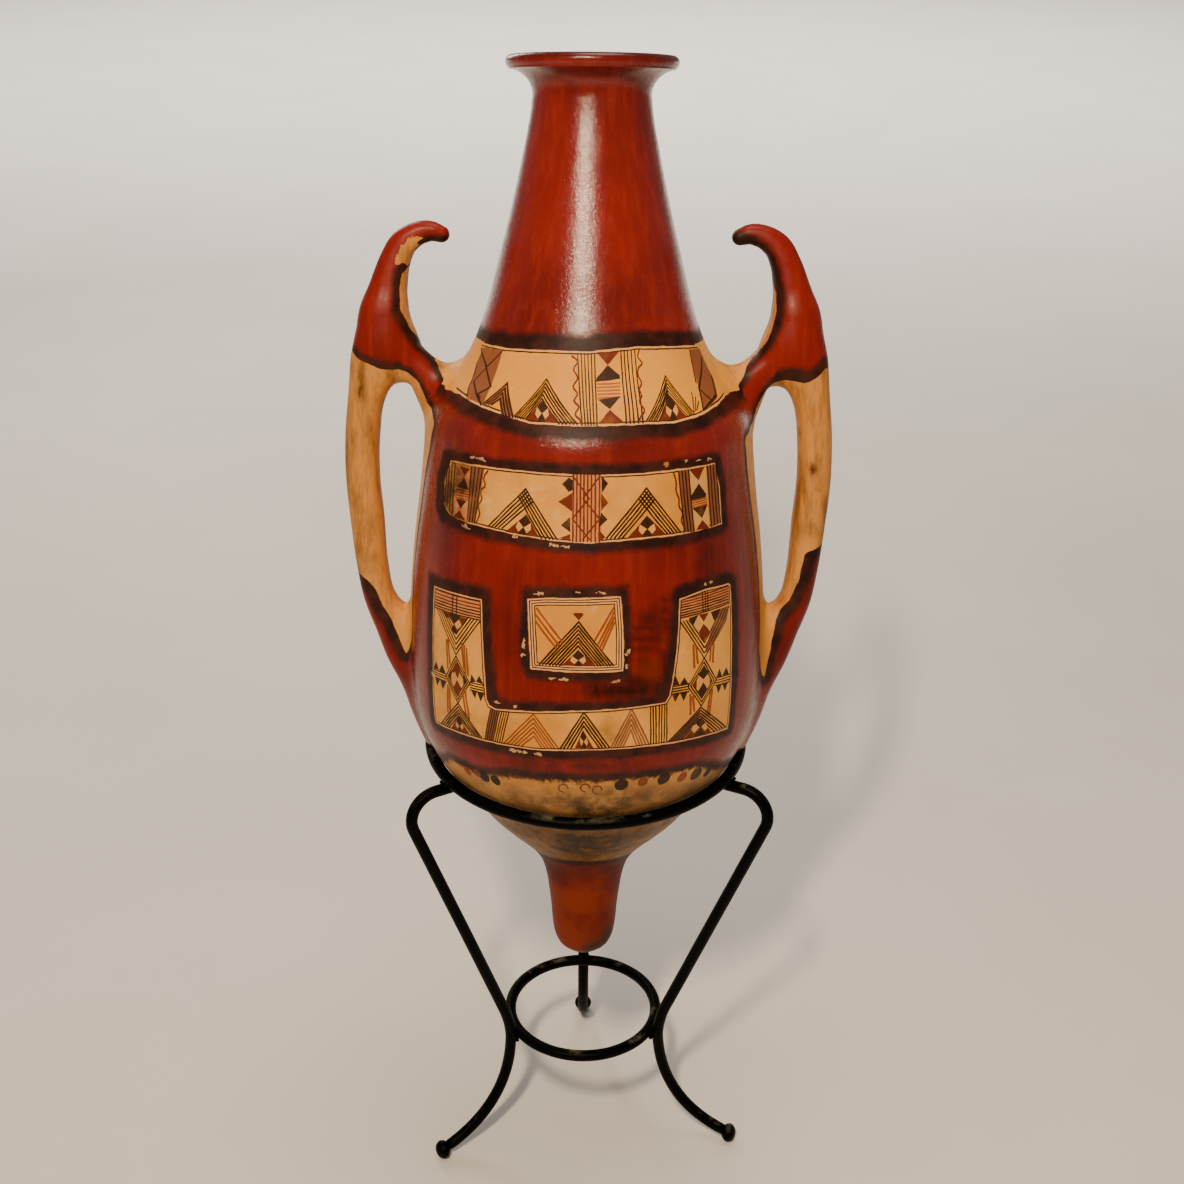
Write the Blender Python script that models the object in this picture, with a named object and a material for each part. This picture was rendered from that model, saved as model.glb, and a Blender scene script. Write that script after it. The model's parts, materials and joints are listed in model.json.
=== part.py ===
# Footed jar: a hollow amphora of fired clay with two horned handles, leaning back a little
# in a welded iron stand with two rings and three legs.
# Metres, +Z up, the floor at z = 0 and the painted front of the jar towards -Y.
import math
import bpy
import bmesh
from mathutils import Matrix, Vector

for old in list(bpy.data.objects):
    bpy.data.objects.remove(old, do_unlink=True)

# Stand: round bar, rings measured to the middle of the bar
BAR = 0.010
UPPER_RING_HEIGHT = 0.401
LOWER_RING_RADIUS = 0.0666
LOWER_RING_HEIGHT = 0.113
WELD_GAP = 0.0003

# Legs, bent by hand: azimuth from the front at the upper ring, at the lower ring and at the foot,
# the arm's length outside the upper ring, and the foot's radius
LEGS = (
    ("leg_left", -60.0, -57.0, -60.0, 0.010, 0.145),
    ("leg_right", 64.5, 61.5, 71.0, 0.013, 0.143),
    ("leg_rear", 180.0, 180.0, 180.0, 0.010, 0.131),
)
ARM_INSIDE = 0.005
LEG_BEND_RADIUS = 0.0225
KNEE_ABOVE = 0.034
KNEE_OUT = 0.0065
FOOT_SWEEP = 0.055
FOOT_REACH = 0.045
FOOT_TILT = 20.0
KNOB_RADIUS = 0.0083
KNOB_LENGTH = 0.013
FOOT_FLAT_DEPTH = 0.0006

# Jar: how it leans, the height on it that the upper ring is bent to fit, and how clear it stays of the ring
LEAN = 12.0
RING_FITS_HEIGHT = 0.0059
SEAT_CLEARANCE = 0.0005
WALL = 0.0075
MOUTH_RADIUS = 0.0385
LIP_RADIUS = 0.0660
LIP_THICKNESS = 0.010
LIP_TOP = 0.5525
LIP_FLAT_RADIUS = 0.0505
CAVITY_FLOOR = -0.118

# Outer profile under the lip: height along the jar's axis, radius
BODY_PROFILE = (
    (-0.1845, 0.0000),
    (-0.1835, 0.0065),
    (-0.1800, 0.0132),
    (-0.1745, 0.0203),
    (-0.1670, 0.0242),
    (-0.1550, 0.0266),
    (-0.1400, 0.0279),
    (-0.1250, 0.0298),
    (-0.1120, 0.0318),
    (-0.1030, 0.0341),
    (-0.0955, 0.0371),
    (-0.0875, 0.0427),
    (-0.0780, 0.0522),
    (-0.0660, 0.0660),
    (-0.0540, 0.0785),
    (-0.0400, 0.0902),
    (-0.0220, 0.1052),
    (-0.0040, 0.1196),
    (0.0160, 0.1305),
    (0.0400, 0.1388),
    (0.0700, 0.1426),
    (0.1050, 0.1435),
    (0.1450, 0.1423),
    (0.1850, 0.1388),
    (0.2250, 0.1338),
    (0.2550, 0.1308),
    (0.2760, 0.1287),
    (0.2890, 0.1240),
    (0.3020, 0.1148),
    (0.3170, 0.1030),
    (0.3340, 0.0926),
    (0.3600, 0.0824),
    (0.4000, 0.0716),
    (0.4450, 0.0604),
    (0.4850, 0.0517),
    (0.5110, 0.0468),
    (0.5240, 0.0454),
)

# Handle: distance from the jar's axis, height, half width and half depth along its middle line
HANDLE_PATH = (
    (0.1240, 0.0120, 0.0085, 0.0090),
    (0.1290, 0.0300, 0.0110, 0.0125),
    (0.1370, 0.0550, 0.0125, 0.0148),
    (0.1510, 0.0840, 0.0136, 0.0160),
    (0.1588, 0.1060, 0.0137, 0.0164),
    (0.1700, 0.1330, 0.0122, 0.0162),
    (0.1740, 0.1560, 0.0124, 0.0160),
    (0.1775, 0.1950, 0.0135, 0.0158),
    (0.1803, 0.2300, 0.0135, 0.0160),
    (0.1795, 0.2650, 0.0137, 0.0168),
    (0.1765, 0.2900, 0.0143, 0.0178),
    (0.1728, 0.3060, 0.0166, 0.0190),
    (0.1690, 0.3230, 0.0186, 0.0196),
    (0.1645, 0.3410, 0.0186, 0.0190),
    (0.1610, 0.3610, 0.0172, 0.0178),
    (0.1568, 0.3800, 0.0146, 0.0158),
    (0.1515, 0.3990, 0.0120, 0.0138),
    (0.1450, 0.4115, 0.0109, 0.0124),
    (0.1345, 0.4190, 0.0093, 0.0108),
    (0.1235, 0.4212, 0.0079, 0.0092),
    (0.1138, 0.4183, 0.0060, 0.0068),
)
BRIDGE_PATH = (
    (0.0980, 0.2920, 0.0195, 0.0180),
    (0.1180, 0.3005, 0.0199, 0.0178),
    (0.1327, 0.3137, 0.0141, 0.0176),
    (0.1470, 0.3245, 0.0180, 0.0182),
    (0.1553, 0.3400, 0.0178, 0.0180),
    (0.1600, 0.3560, 0.0130, 0.0150),
)
SECTION_SQUARENESS = 2.5

# Fineness of the faceted solids
JAR_SIDES = 48
CAVITY_SIDES = 32
HANDLE_SIDES = 14
BAR_SIDES = 8
UPPER_RING_PARTS = 56
LOWER_RING_PARTS = 36
BEND_PARTS = 7
KNEE_PARTS = 4
FOOT_PARTS = 9
KNOB_SHARES = (-0.85, -0.5, 0.0, 0.5, 0.85)
FLARE_SHARES = (0.35, 0.65, 0.88)
LIP_EDGE_DEGREES = (-60, -25, 10, 45, 90)
MOUTH_SHARES = (0.4, 0.75, 1.0)


def material(name, colour, roughness, metallic=0.0):
    made = bpy.data.materials.new(name)
    made.use_nodes = True
    shader = made.node_tree.nodes["Principled BSDF"]
    shader.inputs["Base Color"].default_value = (*colour, 1.0)
    shader.inputs["Roughness"].default_value = roughness
    shader.inputs["Metallic"].default_value = metallic
    return made


def new_object(name, bm, finish):
    """Turns a bmesh into a smooth-shaded object with outward faces."""
    bmesh.ops.recalc_face_normals(bm, faces=bm.faces)
    mesh = bpy.data.meshes.new(name)
    bm.to_mesh(mesh)
    bm.free()
    mesh.materials.append(finish)
    mesh.shade_smooth()
    mesh.set_sharp_from_angle(angle=math.radians(40))
    made = bpy.data.objects.new(name, mesh)
    bpy.context.scene.collection.objects.link(made)
    return made


def skin(rings, closed=False):
    """Joins rings of equally many points into a tube, with flat ends where it isn't closed."""
    bm = bmesh.new()
    rows = [[bm.verts.new(p) for p in ring] for ring in rings]
    count = len(rows[0])
    pairs = list(zip(rows, rows[1:]))
    if closed:
        pairs.append((rows[-1], rows[0]))
    for low, high in pairs:
        for k in range(count):
            nxt = (k + 1) % count
            bm.faces.new((low[k], low[nxt], high[nxt], high[k]))
    if not closed:
        bm.faces.new(rows[0][::-1])
        bm.faces.new(rows[-1])
    return bm


def turned(profile, sides):
    """Turns a profile of (height, radius) about +Z; its two ends lie on the axis."""
    bm = bmesh.new()
    poles = [bm.verts.new((0, 0, profile[0][0])), bm.verts.new((0, 0, profile[-1][0]))]
    rows = []
    for height, radius in profile[1:-1]:
        row = []
        for k in range(sides):
            angle = 2 * math.pi * k / sides
            row.append(bm.verts.new((radius * math.cos(angle), radius * math.sin(angle), height)))
        rows.append(row)
    for k in range(sides):
        nxt = (k + 1) % sides
        bm.faces.new((poles[0], rows[0][nxt], rows[0][k]))
        bm.faces.new((poles[1], rows[-1][k], rows[-1][nxt]))
        for low, high in zip(rows, rows[1:]):
            bm.faces.new((low[k], low[nxt], high[nxt], high[k]))
    return bm


def bar_rings(path, radii, side):
    """Round sections along a path that lies in the plane across the side direction."""
    rings = []
    last = len(path) - 1
    for i, point in enumerate(path):
        along = (path[min(i + 1, last)] - path[max(i - 1, 0)]).normalized()
        across = side.cross(along).normalized()
        width = along.cross(across).normalized()
        ring = []
        for k in range(BAR_SIDES):
            angle = 2 * math.pi * (k + 0.5) / BAR_SIDES
            ring.append(point + (across * math.cos(angle) + width * math.sin(angle)) * radii[i])
        rings.append(ring)
    return rings


def ring_bar(name, radius, height, parts, finish):
    rings = []
    for k in range(parts):
        angle = 2 * math.pi * k / parts
        outward = Vector((math.cos(angle), math.sin(angle), 0))
        ring = []
        for j in range(BAR_SIDES):
            turn = 2 * math.pi * (j + 0.5) / BAR_SIDES
            out = radius + 0.5 * BAR * math.cos(turn)
            ring.append(outward * out + Vector((0, 0, height + 0.5 * BAR * math.sin(turn))))
        rings.append(ring)
    return new_object(name, skin(rings, closed=True), finish)


def curve(points, parts):
    """Points along a Bezier curve with three or four controls, without its first point."""
    degree = len(points) - 1
    out = []
    for k in range(1, parts + 1):
        t = k / parts
        place = Vector((0, 0))
        for n, point in enumerate(points):
            place += point * math.comb(degree, n) * t**n * (1 - t) ** (degree - n)
        out.append(place)
    return out


def leg_outline(arm, foot_radius):
    """One leg's middle line as (radius, height): arm, bend, straight, knee at the lower ring, foot."""
    arm_height = UPPER_RING_HEIGHT - BAR - WELD_GAP
    centre = Vector((UPPER_RING_RADIUS + arm, arm_height - LEG_BEND_RADIUS))
    touch = Vector((LOWER_RING_RADIUS + BAR + WELD_GAP, LOWER_RING_HEIGHT))
    knee = touch + Vector((KNEE_OUT, KNEE_ABOVE))
    # the straight runs from the bend's tangent point to the knee
    reach = knee - centre
    tangent = math.atan2(reach.y, reach.x) + math.acos(LEG_BEND_RADIUS / reach.length)
    points = [Vector((UPPER_RING_RADIUS - ARM_INSIDE, arm_height))]
    for k in range(BEND_PARTS + 1):
        angle = 0.5 * math.pi + (tangent - 0.5 * math.pi) * k / BEND_PARTS
        points.append(centre + LEG_BEND_RADIUS * Vector((math.cos(angle), math.sin(angle))))
    slope = (knee.x - points[-1].x) / (knee.y - points[-1].y)
    corner = Vector((touch.x, knee.y - KNEE_OUT / slope))
    points.append(knee)
    points.extend(curve((knee, corner, touch), KNEE_PARTS))
    # the knob's lowest facet lies a little under the floor, where it is cut flat
    knob_drop = KNOB_RADIUS * math.cos(math.pi / BAR_SIDES)
    end = Vector((foot_radius, knob_drop - FOOT_FLAT_DEPTH))
    tilt = math.radians(FOOT_TILT)
    below = touch - Vector((0, FOOT_SWEEP))
    before = end - FOOT_REACH * Vector((math.cos(tilt), -math.sin(tilt)))
    points.extend(curve((touch, below, before, end), FOOT_PARTS))
    return points


def leg(name, azimuths, arm, foot_radius, finish):
    """A bent bar whose foot ends in a round knob with a small worn flat on the floor."""
    at_top, at_knee, at_foot = azimuths
    path = []
    for point in leg_outline(arm, foot_radius):
        share = (point.y - LOWER_RING_HEIGHT) / (UPPER_RING_HEIGHT - LOWER_RING_HEIGHT)
        azimuth = at_knee + (at_top - at_knee) * share
        if share < 0:
            azimuth = at_knee + (at_foot - at_knee) * (1 - point.y / LOWER_RING_HEIGHT)
        angle = math.radians(azimuth)
        path.append(Vector((point.x * math.sin(angle), -point.x * math.cos(angle), point.y)))
    radii = [0.5 * BAR] * len(path)
    foot_angle = math.radians(at_foot)
    outward = Vector((math.sin(foot_angle), -math.cos(foot_angle), 0))
    foot = path.pop()
    radii.pop()
    for share in KNOB_SHARES:
        path.append(foot + outward * share * 0.5 * KNOB_LENGTH)
        radii.append(KNOB_RADIUS * math.sqrt(1 - share * share))
    side = Vector((math.cos(foot_angle), math.sin(foot_angle), 0))
    bm = skin(bar_rings(path, radii, side))
    whole = bm.verts[:] + bm.edges[:] + bm.faces[:]
    cut = bmesh.ops.bisect_plane(bm, geom=whole, plane_co=(0, 0, 0), plane_no=(0, 0, 1), clear_inner=True)
    rim = [e for e in cut["geom_cut"] if isinstance(e, bmesh.types.BMEdge)]
    bmesh.ops.holes_fill(bm, edges=rim, sides=0)
    return new_object(name, bm, finish)


def body_profile():
    """The jar's outer profile with its lip, from the toe's tip to the middle of the mouth."""
    rows = list(BODY_PROFILE)
    neck_height, neck_radius = BODY_PROFILE[-1]
    under = LIP_TOP - LIP_THICKNESS
    flare = LIP_RADIUS - neck_radius
    rise = under - neck_height
    # a quarter-round flare under the lip, then the rounded edge of the lip
    for share in FLARE_SHARES:
        angle = 0.5 * math.pi * share
        rows.append((neck_height + rise * math.sin(angle), neck_radius + flare * (1 - math.cos(angle))))
    edge = 0.5 * LIP_THICKNESS
    for degrees in LIP_EDGE_DEGREES:
        angle = math.radians(degrees)
        rows.append((LIP_TOP - edge + edge * math.sin(angle), LIP_RADIUS - edge + edge * math.cos(angle)))
    rows.append((LIP_TOP, 0.0))
    return rows


def outer_radius(height):
    """The outer profile's radius and slope at a height."""
    for (h0, r0), (h1, r1) in zip(BODY_PROFILE, BODY_PROFILE[1:]):
        if height <= h1:
            slope = (r1 - r0) / (h1 - h0)
            return r0 + slope * (height - h0), slope
    return BODY_PROFILE[-1][1], 0.0


def cavity_profile():
    """The hollow inside: a wall's thickness within the outer profile, open through the mouth."""
    floor_radius = outer_radius(CAVITY_FLOOR)[0] - WALL
    # the floor is dished a little
    rows = [(CAVITY_FLOOR, 0.0), (CAVITY_FLOOR + WALL / 4, 0.7 * floor_radius)]
    neck_height = BODY_PROFILE[-1][0]
    # every second point is enough for the plain inside
    for height, _ in BODY_PROFILE[::2]:
        if CAVITY_FLOOR + WALL < height < neck_height - WALL:
            radius, slope = outer_radius(height)
            rows.append((height, radius - WALL * math.hypot(1.0, slope)))
    rows.append((neck_height, MOUTH_RADIUS))
    # the mouth opens in a quarter round to the flat of the lip
    dish = LIP_FLAT_RADIUS - MOUTH_RADIUS
    rise = LIP_TOP - neck_height
    for share in MOUTH_SHARES:
        angle = 0.5 * math.pi * share
        rows.append((neck_height + rise * math.sin(angle), MOUTH_RADIUS + dish * (1 - math.cos(angle))))
    above = LIP_TOP + WALL
    rows.append((above, LIP_FLAT_RADIUS))
    rows.append((above, 0.0))
    return rows


def handle_rings(rows, side_sign):
    """Rounded sections along a handle's middle line, in the plane of the jar's axis and its side."""
    last = len(rows) - 1
    front = Vector((0, -1, 0))
    rings = []
    for i, (out, height, half_width, half_depth) in enumerate(rows):
        after = rows[min(i + 1, last)]
        before = rows[max(i - 1, 0)]
        along = Vector((side_sign * (after[0] - before[0]), 0, after[1] - before[1])).normalized()
        across = along.cross(front)
        ring = []
        for k in range(HANDLE_SIDES):
            angle = 2 * math.pi * k / HANDLE_SIDES
            c = math.cos(angle)
            s = math.sin(angle)
            wide = math.copysign(abs(c) ** (2 / SECTION_SQUARENESS), c) * half_width
            deep = math.copysign(abs(s) ** (2 / SECTION_SQUARENESS), s) * half_depth
            ring.append(Vector((side_sign * out, 0, height)) + across * wide + front * deep)
        rings.append(ring)
    return rings


def combine(target, other, operation):
    """Joins or cuts a helper shape into the target."""
    other.hide_render = True
    other.display_type = "WIRE"
    other.parent = target
    step = target.modifiers.new(operation.lower() + " " + other.name, "BOOLEAN")
    step.operation = operation
    step.solver = "EXACT"
    step.object = other


def distance_to_profile(point, profile):
    """How far a point (height, radius) lies outside the turned profile; negative inside."""
    best = None
    for (h0, r0), (h1, r1) in zip(profile, profile[1:]):
        along = Vector((h1 - h0, r1 - r0))
        away = Vector((point[0] - h0, point[1] - r0))
        share = min(max(away.dot(along) / along.length_squared, 0.0), 1.0)
        gap = (away - along * share).length
        outside = away.cross(along) < 0
        if best is None or gap < abs(best):
            best = gap if outside else -gap
    return best


def seat_position(profile):
    """Lowest place along the ring for the leaning jar, clear of the bar by the named clearance."""
    lean = math.radians(LEAN)
    axis = Vector((0, math.sin(lean), math.cos(lean)))
    near = [row for row in profile if abs(row[0]) < UPPER_RING_RADIUS]
    search = UPPER_RING_RADIUS / 3
    halvings = 18
    tries_each_side = 5
    ring = []
    for k in range(UPPER_RING_PARTS // 2 + 1):
        angle = 2 * math.pi * k / UPPER_RING_PARTS
        ring.append(Vector((math.sin(angle), -math.cos(angle), 0)) * UPPER_RING_RADIUS)

    def clearance(shift, lift):
        tight = None
        for point in ring:
            place = point - Vector((0, shift, lift))
            height = place.dot(axis)
            radius = (place - axis * height).length
            gap = distance_to_profile((height, radius), near) - 0.5 * BAR
            tight = gap if tight is None else min(tight, gap)
        return tight

    def lowest(shift):
        low = -search
        high = search
        for _ in range(halvings):
            middle = 0.5 * (low + high)
            if clearance(shift, middle) >= SEAT_CLEARANCE:
                high = middle
            else:
                low = middle
        return high

    # the seat is where the jar comes lowest; the search narrows about the best try each time
    span = search
    centre = 0.0
    while span > SEAT_CLEARANCE / 20:
        steps = range(-tries_each_side, tries_each_side + 1)
        centre = min((centre + span * k / tries_each_side for k in steps), key=lowest)
        span = span / 4
    return centre, lowest(centre)


# the upper ring is bent to the jar's girth where the jar is to rest
UPPER_RING_RADIUS = outer_radius(RING_FITS_HEIGHT)[0] + 0.5 * BAR

iron = material("blackened iron", (0.018, 0.017, 0.016), 0.5, 0.6)
clay = material("burnished red slip on clay", (0.26, 0.03, 0.015), 0.35)

ring_bar("upper_ring", UPPER_RING_RADIUS, UPPER_RING_HEIGHT, UPPER_RING_PARTS, iron)
ring_bar("lower_ring", LOWER_RING_RADIUS, LOWER_RING_HEIGHT, LOWER_RING_PARTS, iron)
for leg_name, at_top, at_knee, at_foot, arm, foot_radius in LEGS:
    leg(leg_name, (at_top, at_knee, at_foot), arm, foot_radius, iron)

outer = body_profile()
amphora = new_object("amphora", turned(outer, JAR_SIDES), clay)
grips = []
for word, sign in (("left", -1), ("right", 1)):
    grip = new_object("handle " + word, skin(handle_rings(HANDLE_PATH, sign)), clay)
    bridge = new_object("bridge " + word, skin(handle_rings(BRIDGE_PATH, sign)), clay)
    combine(amphora, grip, "UNION")
    combine(amphora, bridge, "UNION")
    grips.append(grip)
cavity = new_object("cavity", turned(cavity_profile(), CAVITY_SIDES), clay)
combine(amphora, cavity, "DIFFERENCE")

seat_shift, seat_lift = seat_position(outer)
amphora.location = (0, seat_shift, UPPER_RING_HEIGHT + seat_lift)
amphora.rotation_euler = (-math.radians(LEAN), 0, 0)

# The origin is on the floor under the middle of the whole object
bpy.context.view_layer.update()
pieces = [o for o in bpy.data.objects if not o.hide_render]
corners = [shape.matrix_world @ v.co for shape in pieces + grips for v in shape.data.vertices]
middle_x = 0.5 * (min(p.x for p in corners) + max(p.x for p in corners))
middle_y = 0.5 * (min(p.y for p in corners) + max(p.y for p in corners))
for piece in pieces:
    piece.matrix_world = Matrix.Translation((-middle_x, -middle_y, 0)) @ piece.matrix_world
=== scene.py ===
import json
import math
import random
import bmesh
import bpy
import numpy as np
from mathutils import Matrix, Vector, geometry


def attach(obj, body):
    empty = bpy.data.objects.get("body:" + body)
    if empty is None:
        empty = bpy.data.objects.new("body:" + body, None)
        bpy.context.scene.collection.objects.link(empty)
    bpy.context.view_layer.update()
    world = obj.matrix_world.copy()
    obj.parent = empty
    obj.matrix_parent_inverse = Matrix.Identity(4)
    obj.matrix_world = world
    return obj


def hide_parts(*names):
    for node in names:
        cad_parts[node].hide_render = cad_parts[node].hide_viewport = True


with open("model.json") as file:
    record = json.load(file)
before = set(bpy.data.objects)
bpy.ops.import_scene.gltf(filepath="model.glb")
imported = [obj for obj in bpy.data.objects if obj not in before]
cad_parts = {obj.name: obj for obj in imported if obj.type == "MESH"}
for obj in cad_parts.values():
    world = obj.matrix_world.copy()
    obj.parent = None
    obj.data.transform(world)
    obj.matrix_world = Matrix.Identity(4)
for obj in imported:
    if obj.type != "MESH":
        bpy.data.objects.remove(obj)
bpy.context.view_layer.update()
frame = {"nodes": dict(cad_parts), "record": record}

# A tall painted water jar leaning in a welded iron stand. The jar is worked out in millimetres in its own
# frame (x to the right, y to the back, z up its axis) and then stood in its place in the stand.

mm = 0.001


def toLinear(hexColour, alpha=1.0):  # an sRGB hex colour as linear values
    parts = [int(hexColour[i:i + 2], 16) / 255 for i in (1, 3, 5)]
    return tuple(p / 12.92 if p < 0.04045 else ((p + 0.055) / 1.055) ** 2.4 for p in parts) + (alpha,)


def addNode(tree, kind, values=None, links=None, **settings):  # a node with its settings, values and links
    node = tree.nodes.new("ShaderNode" + kind)
    for name, value in settings.items():
        setattr(node, name, value)
    for socket, value in (values or {}).items():
        node.inputs[socket].default_value = value
    for socket, (source, output) in (links or {}).items():
        tree.links.new(source.outputs[output], node.inputs[socket])
    return node


def rampStops(node, stops):  # sets a colour ramp's stops from pairs of place and hex colour
    ramp = node.color_ramp
    while len(ramp.elements) < len(stops):
        ramp.elements.new(0.5)
    for element, (place, colour) in zip(ramp.elements, stops):
        element.position = place
        element.color = toLinear(colour)
    return node


def newMaterial(name):  # an empty material with its output and Principled shader
    made = bpy.data.materials.new(name)
    made.use_nodes = True
    tree = made.node_tree
    shader = tree.nodes["Principled BSDF"]
    return made, tree, shader


def smoothThrough(points, step):  # a smooth curve through the points, sampled about every step mm
    p = np.array(points, float)
    gaps = np.hypot(*np.diff(p[:, :2], axis=0).T)
    t = np.concatenate(([0.0], np.cumsum(gaps)))
    slopes = np.gradient(p, t, axis=0)
    at = np.linspace(0, t[-1], max(int(round(t[-1] / step)), 2) + 1)
    i = np.clip(np.searchsorted(t, at, side="right") - 1, 0, len(t) - 2)
    w = gaps[i][:, None]
    f = ((at - t[i]) / gaps[i])[:, None]
    a, b = p[i], p[i + 1]
    return (a * (1 + 2 * f) * (1 - f) ** 2 + slopes[i] * w * f * (1 - f) ** 2
            + b * f * f * (3 - 2 * f) + slopes[i + 1] * w * f * f * (f - 1))


# The jar's form: height on the axis and radius, in mm
jar = {
    "lipMount": "lip",
    "lipPoint": 55.7,  # where the record's lip mount sits on the lip's flat
    "lipTop": 552.5,
    "lipRadius": 66.0,
    "lipThickness": 10.0,
    "lipFlatRadius": 50.5,
    "mouthRadius": 38.5,
    "wall": 7.5,
    "floor": -118.0,
    "toeTop": -81.0,  # where the ochre ends and the bare toe begins
    "fieldTop": 500.0,  # the clay's field is only used between these heights
    "fieldBottom": -183.0,
    "columns": 120,
    "rowStep": 4.0,
    "profile": [
        (-184.5, 0.0), (-183.5, 6.5), (-180.0, 13.2), (-174.5, 20.3), (-167.0, 24.2), (-155.0, 26.6),
        (-140.0, 27.9), (-125.0, 29.8), (-112.0, 31.8), (-103.0, 34.1), (-95.5, 37.1), (-87.5, 42.7),
        (-78.0, 52.2), (-66.0, 66.0), (-54.0, 78.5), (-40.0, 90.2), (-22.0, 105.2), (-4.0, 119.6),
        (16.0, 130.5), (40.0, 138.8), (70.0, 142.6), (105.0, 143.5), (145.0, 142.3), (185.0, 138.8),
        (225.0, 133.8), (255.0, 130.8), (276.0, 128.7), (289.0, 124.0), (302.0, 114.8), (317.0, 103.0),
        (334.0, 92.6), (360.0, 82.4), (400.0, 71.6), (445.0, 60.4), (485.0, 51.7), (511.0, 46.8),
        (524.0, 45.4),
    ],
}

lipMount = next(m for m in frame["record"]["mounts"] if m["name"] == jar["lipMount"])
jarAxis = Vector(lipMount["axis"]).normalized()
jarFront = Vector((0, -jarAxis.z, jarAxis.y))
jarLean = -math.atan2(jarAxis.y, jarAxis.z)
jarOrigin = Vector(lipMount["pos_m"]) - jarFront * jar["lipPoint"] * mm - jarAxis * jar["lipTop"] * mm
jarPlace = Matrix.Translation(jarOrigin) @ Matrix(
    ((1, -jarFront.x, jarAxis.x, 0), (0, -jarFront.y, jarAxis.y, 0), (0, -jarFront.z, jarAxis.z, 0),
     (0, 0, 0, 1)))

fineProfile = smoothThrough(jar["profile"], 0.5)


def radiusAt(height):  # the jar's outer radius at a height, under the lip
    return np.interp(height, fineProfile[:, 0], fineProfile[:, 1])


def jarRows():  # the outer rows from toe to throat, and the inside rows from there down to the floor
    rows = [tuple(r) for r in smoothThrough(jar["profile"], jar["rowStep"])]
    neckHeight, neckRadius = jar["profile"][-1]
    under = jar["lipTop"] - jar["lipThickness"]
    for share in (0.15, 0.3, 0.45, 0.6, 0.74, 0.86, 0.94):
        turn = 0.5 * math.pi * share
        flare = jar["lipRadius"] - neckRadius
        rows.append((neckHeight + (under - neckHeight) * math.sin(turn),
                     neckRadius + flare * (1 - math.cos(turn))))
    edge = 0.5 * jar["lipThickness"]
    for degrees in range(-60, 91, 15):
        turn = math.radians(degrees)
        rows.append((jar["lipTop"] - edge + edge * math.sin(turn),
                     jar["lipRadius"] - edge + edge * math.cos(turn)))
    rows.append((jar["lipTop"], 56.0))
    dish = jar["lipFlatRadius"] - jar["mouthRadius"]
    for share in (1.0, 0.85, 0.7, 0.55, 0.4, 0.2, 0.0):
        turn = 0.5 * math.pi * share
        rows.append((neckHeight + (jar["lipTop"] - neckHeight) * math.sin(turn),
                     jar["mouthRadius"] + dish * (1 - math.cos(turn))))
    inside = []
    for height in np.arange(neckHeight - 8, jar["floor"] + 8, -8.0):
        slope = (radiusAt(height + 1) - radiusAt(height - 1)) / 2
        inside.append((height, radiusAt(height) - jar["wall"] * math.hypot(1, slope)))
    inside.append((jar["floor"] + 2, 0.6 * inside[-1][1]))
    inside.append((jar["floor"], 0.0))
    return rows, inside


def onJar(azimuth, height):  # a point of the turned surface, azimuth from the front in radians
    radius = radiusAt(height)
    return np.stack((radius * np.sin(azimuth), -radius * np.cos(azimuth), height + 0 * radius), axis=-1)


# The handles: distance from the axis, height, half width and half depth along the middle line, in mm
handle = {
    "sides": 32,
    "step": 3.2,
    "squareness": 2.5,
    "filletAtJar": {-1: 17.0, 1: 20.0},
    "filletAtBridge": 16.0,
    "path": [
        (124.0, 12.0, 8.5, 9.0), (129.0, 30.0, 11.0, 12.5), (137.0, 55.0, 12.5, 14.8),
        (151.0, 84.0, 13.6, 16.0), (158.8, 106.0, 13.7, 16.4), (170.0, 133.0, 12.2, 16.2),
        (174.0, 156.0, 12.4, 16.0), (177.5, 195.0, 13.5, 15.8), (180.3, 230.0, 13.5, 16.0),
        (179.5, 265.0, 13.7, 16.8), (176.5, 290.0, 14.3, 17.8), (172.8, 306.0, 16.6, 19.0),
        (169.0, 323.0, 18.6, 19.6), (164.5, 341.0, 18.6, 19.0), (161.0, 361.0, 17.2, 17.8),
        (156.8, 380.0, 14.6, 15.8), (151.5, 399.0, 12.0, 13.8), (145.0, 411.5, 10.9, 12.4),
        (134.5, 419.0, 9.3, 10.8), (123.5, 421.2, 7.9, 9.2), (115.5, 418.9, 6.4, 7.4),
    ],
    "bridge": [
        (98.0, 292.0, 19.5, 18.0), (118.0, 300.5, 19.9, 17.8), (132.7, 313.7, 14.1, 17.6),
        (147.0, 324.5, 18.0, 18.2), (155.3, 340.0, 17.8, 18.0), (160.0, 356.0, 13.0, 15.0),
    ],
}
handleLine = smoothThrough(handle["path"], handle["step"])
bridgeLine = smoothThrough(handle["bridge"], handle["step"])


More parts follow.
